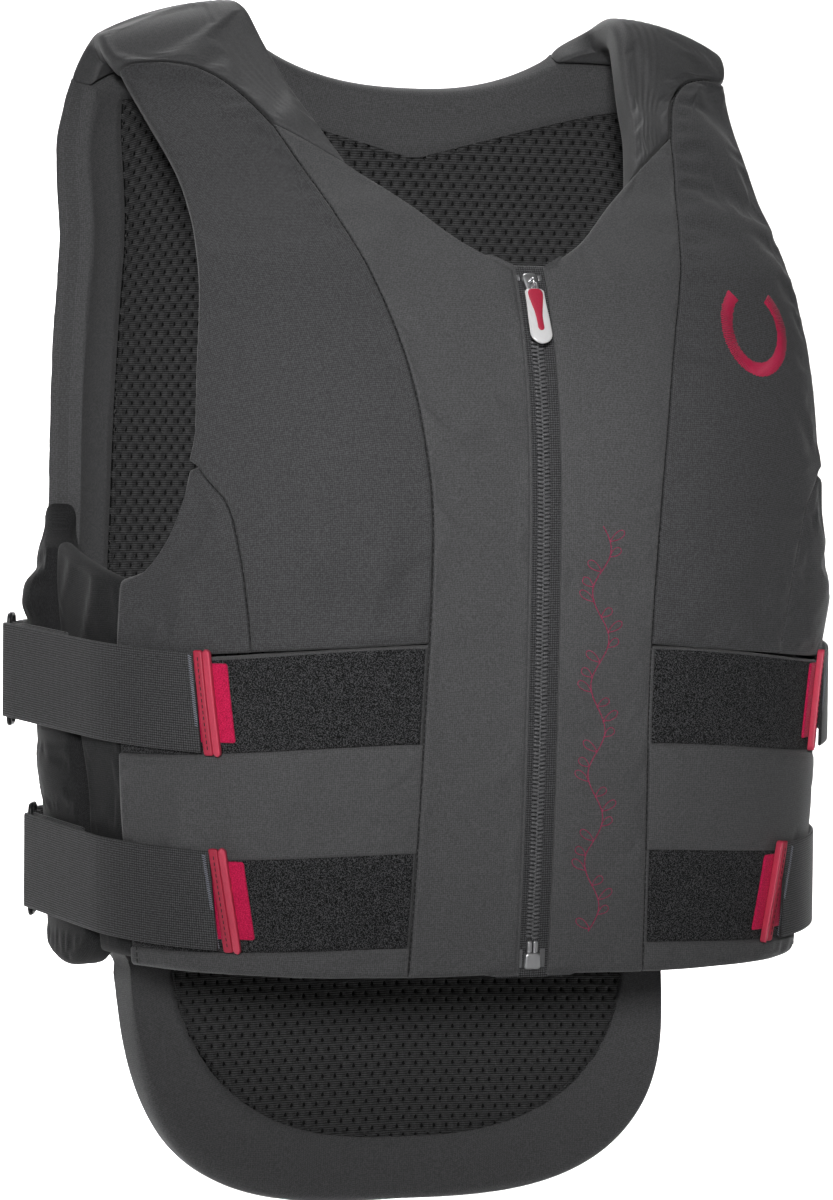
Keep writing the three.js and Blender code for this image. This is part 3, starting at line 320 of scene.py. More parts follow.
    def edge(self, curve: Curve, drop: Array, sign: Array) -> Array:
        """Half width of a pad's edge at a drop."""
        return self.width / 2 * curve(drop / self.length) * self.swayed(drop, sign)

    def neck(self, drop: Array, sign: int) -> Array:
        """Half width of the front neck edge at a drop."""
        return self.neck_half * NECK_EDGE(drop / self.length) * self.swayed(drop, sign)

    def nape(self, drop: Array, sign: Array) -> Array:
        """Half width of the neck edge behind the crest, drawn in towards the nape."""
        inward = self.nape_draw * rise(drop, 0, self.back_end)
        return (self.neck_half - inward) * self.swayed(drop, sign)

    def centre_top(self, across: Array) -> Array:
        """Drop of the centre pads' top edge, from the zip (0) to the princess seam (1)."""
        return self.length * CENTRE_TOP(across)

    def waist_fall(self, angle: Array, drop: Array) -> Array:
        """How much lower a waist line runs towards the side, less of it towards the hem."""
        share = lerp(self.hem_fall, 1, (self.hem - drop) / (self.hem - self.upper_band))
        return self.band_side_fall * rise(np.abs(angle), 20, self.side_edge) * share

    def normals(self, surface: Surface, u: Array, v: Array) -> Array:
        """Outward normals: the cross product of small steps along a surface's two numbers.

        Args:
            surface: Function from two numbers to points.
            u: First numbers.
            v: Second numbers.

        Returns:
            Unit vectors that point away from the middle of the section.
        """
        step = 0.5
        across = surface(u + step, v) - surface(u - step, v)
        down = surface(u, v + step) - surface(u, v - step)
        normal = unit(np.cross(across, down))
        points = surface(u, v)
        centre = np.stack([0 * points[..., 0], 0 * points[..., 1] + self.shoulder_y, points[..., 2] - 60], -1)
        away = (normal * (points - centre)).sum(-1, keepdims=True)
        return np.where(away < 0, -normal, normal)

    def on_front(self, angle: Array, z: Array, lift: Array = 0.0) -> Array:
        """Points at an angle and a height, lifted straight out of the surface in plan.

        Args:
            angle: Degrees round the section.
            z: Heights, mm.
            lift: Distances out of the surface, mm.

        Returns:
            The points.
        """
        drop = self.crest - np.asarray(z, float) + 0 * np.asarray(angle, float)
        for _ in range(5):
            drop = drop + self.by_angle(angle, drop)[..., 2] - z
        normal = self.normals(self.by_angle, angle, drop)
        normal[..., 2] = 0
        return self.by_angle(angle, drop) + unit(normal) * np.asarray(lift, float)[..., None]


FORM = Form()


# Finishes.


def linear(code: str) -> tuple[float, float, float, float]:
    """A six-digit sRGB hex colour as linear red, green, blue and full alpha."""
    shares = (int(code[i : i + 2], 16) / 255 for i in (0, 2, 4))
    return (*(s / 12.92 if s <= 0.04045 else ((s + 0.055) / 1.055) ** 2.4 for s in shares), 1.0)


def add(tree: bpy.types.NodeTree, kind: str, values: dict | None = None, links: dict | None = None,
        **settings: object) -> bpy.types.Node:
    """Adds one node to a tree.

    Args:
        tree: The material's node tree.
        kind: The node's type name.
        values: Input sockets by name or number, and their constant values.
        links: Input sockets by name or number, and the output sockets that feed them.
        **settings: The node's own attributes.

    Returns:
        The node.
    """
    made = tree.nodes.new(kind)
    for key, value in settings.items():
        setattr(made, key, value)
    for key, value in (values or {}).items():
        made.inputs[key].default_value = value
    for key, source in (links or {}).items():
        tree.links.new(source, made.inputs[key])
    return made


def blank(name: str) -> tuple[bpy.types.Material, bpy.types.NodeTree]:
    """A new material with an empty node tree."""
    material = bpy.data.materials.new(name)
    material.use_nodes = True
    material.node_tree.nodes.clear()
    return material, material.node_tree


@dataclass(frozen=True)
class Cloth:
    """A knitted, woven or napped fabric.

    Attributes:
        name: What the fabric is.
        slot: The record's material slot; not used.
        shades: Dark, main and light colour of its mottling, sRGB hex.
        grain: Size of the mottling, mm.
        thread: Pitch of its threads, mm, coarse enough to show.
        weave: Share of the threads in colour and relief, along and across.
        relief: Depth of grain and threads, mm.
        roughness: Of the fibres.
        sheen: Weight of the soft light that fibres give at a slant.
        contrast: How sharply the mottling steps from dark to light, 0 to 1.
    """

    name: str
    slot: str
    shades: tuple[str, str, str]
    grain: float = 0.9
    thread: float = 1.1
    weave: tuple[float, float] = (0.25, 0.25)
    relief: float = 0.12
    roughness: float = 0.8
    sheen: float = 0.15
    contrast: float = 0.5

    def material(self) -> bpy.types.Material:
        """The material: noise on Object coordinates for the mottle, waves on UV for the threads."""
        ready = bpy.data.materials.get(f"{self.name}_finish")
        if ready:
            return ready
        material, tree = blank(f"{self.name}_finish")
        place = add(tree, "ShaderNodeTexCoord")
        noise = add(tree, "ShaderNodeTexNoise",
                    {"Scale": 1 / (self.grain * MM), "Detail": 3.0, "Roughness": 0.6},
                    {"Vector": place.outputs["Object"]})
        period = 2 * math.pi / 20 / (self.thread * MM)
        waves = [
            add(tree, "ShaderNodeTexWave",
                {"Scale": period, "Distortion": 0.6, "Detail": 1.0, "Detail Scale": 2.0},
                {"Vector": place.outputs["UV"]}, wave_type="BANDS", bands_direction=way)
            for way in "XY"
        ]
        height = noise.outputs["Fac"]
        for wave, share in zip(waves, self.weave):
            mix = add(tree, "ShaderNodeMix", {"Factor": share}, {2: height, 3: wave.outputs["Fac"]})
            height = mix.outputs[0]
        spread = lerp(0.3, 0.06, self.contrast)
        ramp = add(tree, "ShaderNodeValToRGB", links={"Fac": height})
        stops = ramp.color_ramp.elements
        stops[0].position, stops[0].color = 0.5 - spread, linear(self.shades[0])
        stops[1].position, stops[1].color = 0.5 + spread, linear(self.shades[2])
        stops.new(0.5).color = linear(self.shades[1])
        bump = add(tree, "ShaderNodeBump", {"Strength": 1.0, "Distance": self.relief * MM},
                   {"Height": height})
        shader = add(tree, "ShaderNodeBsdfPrincipled",
                     {"Roughness": self.roughness, "Sheen Weight": self.sheen, "Sheen Roughness": 0.4,
                      "Specular IOR Level": 0.3},
                     {"Base Color": ramp.outputs["Color"], "Normal": bump.outputs["Normal"]})
        add(tree, "ShaderNodeOutputMaterial", links={"Surface": shader.outputs[0]})
        return material


@dataclass(frozen=True)
class Solid:
    """A moulded or plated finish, with faint unevenness from its making.

    Attributes:
        name: What the finish is.
        slot: The record's material slot; not used.
        shades: Dark and light colour of its faint mottling, sRGB hex.
        roughness: Of the surface.
        metallic: 1 for metal.
        clear: Share of light that passes through.
        grain: Size of the unevenness, mm.
        relief: Its depth, mm.
        sheen: Weight of soft light at a slant, for fuzzy threads.
    """

    name: str
    slot: str
    shades: tuple[str, str]
    roughness: float = 0.4
    metallic: float = 0.0
    clear: float = 0.0
    grain: float = 1.0
    relief: float = 0.02
    sheen: float = 0.0

    def material(self) -> bpy.types.Material:
        """The material: one noise on Object coordinates for colour and bump."""
        ready = bpy.data.materials.get(f"{self.name}_finish")
        if ready:
            return ready
        material, tree = blank(f"{self.name}_finish")
        place = add(tree, "ShaderNodeTexCoord")
        noise = add(tree, "ShaderNodeTexNoise", {"Scale": 1 / (self.grain * MM), "Detail": 2.0},
                    {"Vector": place.outputs["Object"]})
        tint = add(tree, "ShaderNodeMix", {6: linear(self.shades[0]), 7: linear(self.shades[1])},
                   {"Factor": noise.outputs["Fac"]}, data_type="RGBA")
        bump = add(tree, "ShaderNodeBump", {"Strength": 1.0, "Distance": self.relief * MM},
                   {"Height": noise.outputs["Fac"]})
        shader = add(tree, "ShaderNodeBsdfPrincipled",
                     {"Roughness": self.roughness, "Metallic": self.metallic,
                      "Transmission Weight": self.clear, "Sheen Weight": self.sheen},
                     {"Base Color": tint.outputs[2], "Normal": bump.outputs["Normal"]})
        add(tree, "ShaderNodeOutputMaterial", links={"Surface": shader.outputs[0]})
        return material


# Smooth coated softshell: a matt charcoal face with the faintest cross-grain.
SOFTSHELL = Cloth("softshell", "softshell", ("3f3f40", "4a4a4b", "565657"), grain=0.85, weave=(0.12, 0.1),
                  contrast=0.75)
# The shoulder fabric is the same cloth pulled tight over foam, a little shinier.
TIGHT_SHELL = Cloth("softshell_tight", "softshell", ("3d3d3e", "454546", "4d4d4e"), grain=1.1,
                    weave=(0.1, 0.08), relief=0.05, roughness=0.6, sheen=0.12)
# Brushed stretch jersey: softer and a shade darker.
STRETCH = Cloth("stretch_jersey", "stretch", ("333334", "404041", "4e4e50"), grain=0.85, weave=(0.12, 0.14),
                relief=0.14, roughness=0.85, contrast=0.75)
# The same jersey painted near black for the wings: painted shade, standing for the shade that the wings lie
# in at the sides.
SHADED_STRETCH = Cloth("dark_jersey", "stretch", ("19191a", "212122", "2c2c2d"), grain=0.85, weave=(0.12, 0.14),
                     relief=0.14, roughness=0.9, sheen=0.05, contrast=0.75)
# Spacer mesh: a dark warp knit, its holes cut in the geometry.
SPACER = Cloth("spacer_mesh", "mesh", ("1b1b1b", "2c2c2d", "444445"), grain=0.8, thread=1.25,
               weave=(0.1, 0.45), relief=0.2, roughness=0.75, contrast=0.55)
# The mesh's back layer lies in its own shade, so it is nearly black.
BACKING = Cloth("mesh_backing", "mesh", ("050505", "080808", "0c0c0c"), grain=0.7, weave=(0, 0),
                relief=0.1, sheen=0)
# Loop tape: a nap of tiny loops that catches light in specks.
LOOP = Cloth("loop_tape", "loop_tape", ("010101", "0a0a0b", "505052"), grain=0.55, weave=(0, 0), relief=0.4,
             roughness=0.95, sheen=0.03, contrast=0.95)
# Elastic webbing: fine ribs with a cross thread.
ELASTIC = Cloth("elastic_webbing", "webbing", ("1c1c1d", "353536", "565658"), grain=0.6, thread=1.2,
                weave=(0.2, 0.22), relief=0.16, roughness=0.8, contrast=0.65)
# Hook tape: stiff crimson pile.
HOOK = Cloth("hook_tape", "hook_tape", ("960436", "c40a48", "dc285c"), grain=0.55, weave=(0, 0), relief=0.3,
             roughness=0.8, sheen=0.1, contrast=0.5)
# Moulded rubber of the grips, its lighter lip and its darker stitched face.
GRIP = Solid("grip_rubber", "red_trim", ("c83a54", "d64a62"), roughness=0.42, relief=0.03)
GRIP_FACE = Solid("grip_rubber_face", "red_trim", ("a0203a", "b62c46"), roughness=0.5, relief=0.03)
# Bright nickel-plated zinc.
NICKEL = Solid("bright_nickel", "steel", ("e2e2e4", "eeeef0"), roughness=0.34, metallic=1.0, grain=3.0,
               relief=0.01)
# Black-coated steel wire of the strap rings.
WIRE = Solid("black_wire", "dark_wire", ("19191a", "242425"), roughness=0.35, grain=2.0)
# Nylon coil of the zip.
COIL = Solid("nylon_coil", "coil", ("4c4c4d", "6e6e70"), roughness=0.32, grain=0.6)
# Clear soft plastic, milky in its thickness.
CLEAR = Solid("clear_vinyl", "clear_plastic", ("f0eff0", "fafafa"), roughness=0.18, clear=0.3, grain=4.0)
# The same plastic as a thin film over the tape, which shows grey through it.
FILM = Solid("clear_film", "clear_plastic", ("6c6c6d", "88888a"), roughness=0.25, clear=0.3, grain=4.0)
# Sewing threads.
THREAD = Solid("dark_thread", "softshell", ("141415", "222223"), roughness=0.7, grain=0.5)
RED_THREAD = Solid("crimson_thread", "red_trim", ("a0083a", "c0164a"), roughness=0.6, sheen=0.1, grain=0.5)
WINE_THREAD = Solid("wine_thread", "red_trim", ("7c1040", "a41c50"), roughness=0.55, sheen=0.2, grain=0.5)
PALE_THREAD = Solid("pale_thread", "webbing", ("62666f", "8a8f9c"), roughness=0.7, sheen=0.2, grain=0.5)


# Mesh making.


@dataclass
class Net:
    """Points in mm, faces by their number of corners, and a flat place in mm for each point."""

    points: Array
    faces: Faces
    flat: Array | None = None


def joined(nets: list[Net]) -> Net:
    """Several nets as one: their points end to end and their faces moved on to match."""
    starts = np.cumsum([0] + [len(n.points) for n in nets])
    faces = [f + start for n, start in zip(nets, starts) for f in n.faces]
    flats = None
    if all(n.flat is not None for n in nets):
        flats = np.concatenate([n.flat for n in nets])
    return Net(np.concatenate([n.points for n in nets]), faces, flats)


def volume(net: Net) -> float:
    """Signed volume: a sixth of the sum of triple products over fans of triangles."""
    total = 0.0
    for face in net.faces:
        for k in range(1, face.shape[1] - 1):
            a, b, c = (net.points[face[:, j]] for j in (0, k, k + 1))
            total += float((a * np.cross(b, c)).sum()) / 6
    return total


def facing_out(net: Net) -> Net:
    """The net with its faces turned round if it encloses a negative volume."""
    if volume(net) < 0:
        net.faces = [f[:, ::-1] for f in net.faces]
    return net


def quads(height: int, width: int, ring: bool = False) -> Array:
    """Four corners of each cell of a grid of points, the columns joined into a ring if asked."""
    row = np.arange(height - 1)[:, None] * width
    column = np.arange(width if ring else width - 1)[None, :]
    after = (column + 1) % width
    return np.stack([row + column, row + after, row + width + after, row + width + column], -1).reshape(-1, 4)


def closed(outer: Array, inner: Array, flat: Array | None = None) -> Net:
    """One closed body between two grids of points, joined by a wall round their rims.

    Args:
        outer: Grid of points of the outer skin, (rows, columns, 3).
        inner: Grid of points of the inner skin.
        flat: Flat places of the grid's points, (rows, columns, 2).

    Returns:
        The net, facing out.
    """
    height, width = outer.shape[:2]
    base = height * width
    sheet = quads(height, width)
    index = np.arange(base).reshape(height, width)
    rim = np.concatenate([index[0, :-1], index[:-1, -1], index[-1, :0:-1], index[:0:-1, 0]])
    after = np.roll(rim, -1)
    wall = np.stack([rim, base + rim, base + after, after], -1)
    net = Net(np.concatenate([outer.reshape(-1, 3), inner.reshape(-1, 3)]),
              [sheet, sheet[:, ::-1] + base, wall])
    if flat is not None:
        net.flat = np.concatenate([flat.reshape(-1, 2)] * 2)
    return facing_out(net)


def arc(points: Array, axis: int) -> Array:
    """Length along one axis of a grid of points, from its first line."""
    steps = np.linalg.norm(np.diff(points, axis=axis), axis=-1)
    start = np.zeros_like(np.take(steps, [0], axis=axis))
    return np.concatenate([start, np.cumsum(steps, axis=axis)], axis=axis)


def flat_of(points: Array) -> Array:
    """Flat places of a grid: length along its rows and along its columns."""
    return np.stack([arc(points, 1), arc(points, 0)], -1)


def swept(path: Array, side: Array, up: Array, section: Array, loop: bool = False) -> Net:
    """A section carried along a path: point plus side times the section's x plus up times its y.

    Args:
        path: Points of the path, (n, 3).
        side: Directions of the section's x at each point.
        up: Directions of its y.
        section: The section's outline, (m, 2), or (n, m, 2) where it changes.
        loop: Whether the path closes on itself.

    Returns:
        A closed net, with ends where the path has them.
    """
    section = np.broadcast_to(section, (len(path), *section.shape[-2:]))
    points = path[:, None] + side[:, None] * section[..., :1] + up[:, None] * section[..., 1:]
    count, around = points.shape[:2]
    if loop:
        faces: Faces = [quads(count + 1, around, ring=True) % (count * around)]
    else:
        ends = np.arange(around)
        faces = [quads(count, around, ring=True), ends[None, ::-1], (count - 1) * around + ends[None]]
    outline = np.concatenate([section, section[:, :1]], 1)
    round_it = arc(outline, 1)[:, :-1]
    along = np.broadcast_to(arc(path[None], 1)[0][:, None], round_it.shape)
    return facing_out(Net(points.reshape(-1, 3), faces, np.stack([along, round_it], -1).reshape(-1, 2)))


def circle(radius: float, sides: int) -> Array:
    """Corners of a regular polygon."""
    turn = np.arange(sides) * 2 * math.pi / sides
    return radius * np.stack([np.cos(turn), np.sin(turn)], -1)


def tangents(path: Array, loop: bool = False) -> Array:
    """Unit directions along a path, from each point's neighbours."""
    if loop:
        return unit(np.roll(path, -1, 0) - np.roll(path, 1, 0))
    return unit(np.gradient(path, axis=0))


def capsule(length: float, radius: float, sides: int = 6) -> Net:
    """A short round stitch along X: a tube whose two ends draw in."""
    places = np.array([-0.5, -0.5, 0.5, 0.5]) * length + np.array([0, 0.6, -0.6, 0]) * radius
    widths = np.array([0.5, 1, 1, 0.5])
    section = circle(radius, sides) * widths[:, None, None]
    path = np.stack([places, 0 * places, 0 * places], -1)
    return swept(path, np.tile([0.0, 1, 0], (4, 1)), np.tile([0.0, 0, 1], (4, 1)), section)


def copies(shape: Net, places: Array, along: Array, side: Array, up: Array) -> Net:
    """Copies of a small shape: place plus its x, y and z times three directions of each copy.

    Args:
        shape: The small shape round the origin.
        places: Where each copy goes, (n, 3).
        along: Direction of the shape's X at each copy, scaled if the copy is longer.
        side: Direction of its Y.
        up: Direction of its Z.

    Returns:
        One net of all the copies.
    """
    local = shape.points
    points = (places[:, None] + along[:, None] * local[None, :, :1] + side[:, None] * local[None, :, 1:2]
              + up[:, None] * local[None, :, 2:])
    starts = np.arange(len(places))[:, None, None] * len(local)
    faces = [(f[None] + starts).reshape(-1, f.shape[1]) for f in shape.faces]
    return Net(points.reshape(-1, 3), faces)


def sewn(path: Array, normals: Array, length: float = 2.2, pitch: float = 3.2, radius: float = 0.3,
         slant: float = 0.0) -> Net:
    """A row of stitches: capsules at even steps of a path's length.

    Args:
        path: Points that the row follows.
        normals: Outward directions there.
        length: Of a stitch, mm.
        pitch: From stitch to stitch, mm.
        radius: Of the thread, mm.
        slant: Degrees that each stitch turns from the row.

    Returns:
        One net of all the stitches.
    """
    run = arc(path[None], 1)[0]
    at = np.arange(pitch / 2, run[-1], pitch)
    places = np.stack([np.interp(at, run, path[:, k]) for k in range(3)], -1)
    up = unit(np.stack([np.interp(at, run, normals[:, k]) for k in range(3)], -1))
    ahead = np.stack([np.interp(at + 0.2, run, path[:, k]) - np.interp(at - 0.2, run, path[:, k])
                      for k in range(3)], -1)
    along = unit(ahead - up * (ahead * up).sum(-1, keepdims=True))
    side = np.cross(up, along)
    turn = math.radians(slant)
    cos, sin = math.cos(turn), math.sin(turn)
    along, side = along * cos + side * sin, side * cos - along * sin
    return copies(capsule(length, radius), places, along, side, up)


def dress(name: str, net: Net, finish: Cloth | Solid, body: str = VEST, smooth: bool = True,
          replaces: tuple[str, ...] = ()) -> bpy.types.Object:
    """Turns a net into a finished piece.

    Args:
        name: The piece's name.
        net: Its shape in mm.
        finish: Its finish.
        body: The CAD body that it rides on.
        smooth: Whether its faces are shaded smooth.
        replaces: CAD nodes that it stands for.

    Returns:
        The object, at the origin.
    """
    mesh = bpy.data.meshes.new(name)
    sizes = np.concatenate([np.full(len(f), f.shape[1]) for f in net.faces])
    corners = np.concatenate([f.ravel() for f in net.faces]).astype(np.int32)
    mesh.vertices.add(len(net.points))
    mesh.vertices.foreach_set("co", (net.points * MM).astype(np.float32).ravel())
    mesh.loops.add(len(corners))
    mesh.loops.foreach_set("vertex_index", corners)
    mesh.polygons.add(len(sizes))
    mesh.polygons.foreach_set("loop_start", (np.cumsum(sizes) - sizes).astype(np.int32))
    mesh.polygons.foreach_set("use_smooth", np.full(len(sizes), smooth))
    if net.flat is not None:
        layer = mesh.uv_layers.new(name="flat")
        layer.data.foreach_set("uv", (net.flat[corners] * MM).astype(np.float32).ravel())
    mesh.update(calc_edges=True)
    mesh.validate()
    mesh.materials.append(finish.material())
    piece = bpy.data.objects.new(name, mesh)
    bpy.context.scene.collection.objects.link(piece)
    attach(piece, body)
    if replaces:
        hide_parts(*replaces)
    log.info("%s: %d faces", name, len(sizes))
    return piece


# Pads.


class Rolls(NamedTuple):
    """Radii of a pad's rounded rims in mm: first and last column, foot and top row."""

    first: Array | float
    last: Array | float
    foot: Array | float
    top: Array | float


@dataclass
class Grid:
    """A pad's grid: its shares, its numbers on the form, its points and its distances from rims."""

    a: Array
    b: Array
    u: Array
    v: Array
    points: Array
    normals: Array
    from_first: Array
    from_last: Array
    from_foot: Array
    from_top: Array

    @property
    def from_rim(self) -> Array:
        """Distance from the nearest rim, mm."""
        return np.minimum.reduce([self.from_first, self.from_last, self.from_foot, self.from_top])


def rounding(distance: Array, radius: Array | float) -> Array:
    """How deep a quarter-round rim lies: radius less the root of its square less the gap's square."""
    t = np.clip(1 - distance / radius, 0, 1)
    return radius * (1 - np.sqrt(1 - t * t))


def swelling(skin: Array, held: Array, slack: float, cap: float) -> Array:
    """How cloth over foam swells and folds: Blender's cloth, blown out with its seams held.

    Every second line of the skin's grid is simulated for 20 frames without gravity. The way that
    each point moved is drawn back to the cap by a hyperbolic tangent and spread over all lines.

    Args:
        skin: Grid of points of the cover, mm.
        held: Which of them are sewn down.
        slack: Share by which the cloth is larger than the foam.
        cap: How far a point may move, mm.
    """
    if cap == 0:
        return 0 * skin
    height, width = held.shape
    rows, columns = (np.unique(np.append(np.arange(0, n, 2), n - 1)) for n in (height, width))
    coarse = skin[np.ix_(rows, columns)]
    mesh = bpy.data.meshes.new("trial")
    mesh.from_pydata((coarse.reshape(-1, 3) * MM).tolist(), [], quads(len(rows), len(columns)).tolist())
    trial = bpy.data.objects.new("trial", mesh)
    bpy.context.scene.collection.objects.link(trial)
    seams = trial.vertex_groups.new(name="seams")
    seams.add(np.flatnonzero(held[np.ix_(rows, columns)]).tolist(), 1.0, "REPLACE")
    cloth = trial.modifiers.new("cloth", "CLOTH")
    cloth.settings.vertex_group_mass = seams.name
    cloth.settings.effector_weights.gravity = 0
    cloth.settings.use_pressure = True
    cloth.settings.uniform_pressure_force = 4
    cloth.settings.shrink_min = -slack
    cloth.settings.quality = 5
    cloth.point_cache.frame_start, cloth.point_cache.frame_end = 1, 20
    for number in range(1, 21):
        bpy.context.scene.frame_set(number)
    settled = trial.evaluated_get(bpy.context.evaluated_depsgraph_get()).to_mesh()
    ends = np.empty(len(coarse.reshape(-1)), np.float32)
    settled.vertices.foreach_get("co", ends)
    moves = ends.reshape(coarse.shape) / MM - coarse
    bpy.data.objects.remove(trial)
    bpy.data.meshes.remove(mesh)
    bpy.context.scene.frame_set(1)
    size = np.linalg.norm(moves, axis=-1, keepdims=True)
    moves = moves * (cap * np.tanh(size / cap) / np.maximum(size, 1e-9))
    across = np.stack([[np.interp(np.arange(width), columns, line) for line in moves[..., k]]
                       for k in range(3)], -1)
    spread = [[np.interp(np.arange(height), rows, line) for line in across[..., k].T] for k in range(3)]
    return np.stack([np.transpose(part) for part in spread], -1)


RIM_STOPS = np.array([0, 0.08, 0.2, 0.36, 0.56, 0.8, 1.1, 1.5]) * 5.0  # mm from a rim
SEAM = 1.3  # mm, radius of a rim that is sewn to its neighbour


@dataclass
class Pad:
    """A foam pad in its cover, a closed body between an outer and an inner skin on the form.

    Attributes:
        side: The wearer's side that it lies on.
        columns: Grid columns between its rims.
        rows: Grid rows between its rims.
        thickness: Of foam and cover, mm.
        inner_roll: Radius of the inner rims.
        dip: How deep the cover sinks to its seams, mm.
        dip_reach: How far from the seams that is felt, mm.
        slack: Share by which its cover is larger than the foam.
        cap: How far the simulated cover may move, mm.
        finish: Its fabric.
        fill: How tight it is, 0 to 1; not used.
        node: The CAD node's name without its side.
    """

    side: Side = Side.RIGHT
    columns: int = 60
    rows: int = 80
    thickness: float = 18
    inner_roll: float = 4
    dip: float = 0.35
    dip_reach: float = 5
    slack: float = 0.012
    cap: float = 1.2
    finish: Cloth = SOFTSHELL
    fill: float = 0.8
    node: str = "pad"

    @property
    def name(self) -> str:
        """The CAD node that the pad stands for."""
        return f"{self.node}_{self.side.label}"

    def place(self, a: Array, b: Array) -> tuple[Array, Array]:
        """The two numbers on the form for shares across (a) and up (b) of the pad."""
        raise NotImplementedError

    def surface(self, u: Array, v: Array) -> Array:
        """Points of the form that the pad lies on."""
        return FORM.by_angle(u, v)

    def rims(self, grid: Grid) -> Rolls:
        """Radii of the outer rims."""
        return Rolls(SEAM, SEAM, SEAM, SEAM)

    def relief(self, grid: Grid) -> Array:
        """Extra height of the cover, mm."""
        return 0.0 * grid.a

    def held(self, grid: Grid) -> Array:
        """Where the cover is sewn down: along its rims."""
        return grid.from_rim < 3

    def foam(self, grid: Grid) -> Array:
        """Depth of the inner skin, mm."""
        return self.thickness + 0 * grid.a

    def grid(self) -> Grid:
        """Lays out the grid: rim stops at fixed distances and even steps between them."""
        coarse_a, coarse_b = np.meshgrid(np.linspace(0, 1, 25), np.linspace(0, 1, 25))
        rough = self.surface(*self.place(coarse_a, coarse_b))
        wide, tall = arc(rough, 1)[:, -1], arc(rough, 0)[-1]
        even_a = np.linspace(0, 1, self.columns + 2 * len(RIM_STOPS))
        even_b = np.linspace(0, 1, self.rows + 2 * len(RIM_STOPS))
        across = np.interp(even_b, coarse_b[:, 0], wide)
        upward = np.interp(even_a, coarse_a[0], tall)
        a = np.stack([self.stops(length, self.columns) for length in across])
        b = np.stack([self.stops(length, self.rows) for length in upward], 1)
        u, v = self.place(a, b)
        points = self.surface(u, v)
        run, climb = arc(points, 1), arc(points, 0)
        normals = FORM.normals(self.surface, u, v)
        return Grid(a, b, u, v, points, normals, run, run[:, -1:] - run, climb, climb[-1:] - climb)

    @staticmethod
    def stops(length: float, count: int) -> Array:
        """Shares of a length: the rim stops from each end, with count even steps between."""
        rim = np.minimum(RIM_STOPS / length, np.linspace(0, 0.3, len(RIM_STOPS)))
        middle = np.linspace(rim[-1], 1 - rim[-1], count + 2)[1:-1]
        return np.concatenate([rim, middle, 1 - rim[::-1]])

    def skins(self) -> tuple[Array, Array, Grid]:
        """The outer and inner skin's points, and the grid."""
        grid = self.grid()
        rims = self.rims(grid)
        across = rounding(grid.from_first, rims.first) + rounding(grid.from_last, rims.last)
        upward = rounding(grid.from_foot, rims.foot) + rounding(grid.from_top, rims.top)
        dip = self.dip * np.exp(-grid.from_rim / self.dip_reach)
        outer = self.relief(grid) - np.hypot(across, upward) - dip
        inner = rounding(grid.from_rim, self.inner_roll) - self.foam(grid)
        outer = np.maximum(outer, inner + 0.3)
        lift = grid.normals
        return grid.points + lift * outer[..., None], grid.points + lift * inner[..., None], grid

    def build(self) -> bpy.types.Object:
        """Makes the pad's piece in place of its CAD node."""
        outer, inner, grid = self.skins()
        outer = outer + swelling(outer, self.held(grid), self.slack, self.cap)
        piece = dress(f"{self.name}_cover", closed(outer, inner, flat_of(outer)), self.finish,
                      replaces=(self.name,))
        return piece


@dataclass
class CentrePad(Pad):
    """Pad beside the zip, thin along it where the tape runs underneath."""

    node: str = "centre_pad"
    columns: int = 44
    rows: int = 150
    thickness: float = 14
    zip_edge: float = 8
    thin: float = 3.4

    def place(self, a: Array, b: Array) -> tuple[Array, Array]:
        """From the slot of the zip to the princess seam, and from the hem to the neckline."""
        sign = self.side.value
        drop = lerp(FORM.hem, FORM.centre_top(a), b)
        return sign * lerp(self.zip_edge, FORM.edge(PRINCESS_SEAM, drop, sign) - 0.25, a), drop

    def surface(self, u: Array, v: Array) -> Array:
        """The front surface by half width."""
        return FORM.by_width(u, v, Face.FRONT)

    def rims(self, grid: Grid) -> Rolls:
        """Rounded at the zip, the neckline and the hem, and sewn to the yoke past its fold."""
        return Rolls(2.2, SEAM, 3.5, lerp(3.5, SEAM, rise(grid.a, 0.7, 0.78)))

    def foam(self, grid: Grid) -> Array:
        """Thin over the tape and full past it."""
        return lerp(self.thin, self.thickness, rise(grid.from_first, 11, 24))

    def relief(self, grid: Grid) -> Array:
        """Slight slack waves down the long panel."""
        edge = 1 - np.exp(-grid.from_rim / 14)
        return 0.28 * edge * ripple(grid.points[..., 0], grid.points[..., 2], 74, 3 + self.side.value)


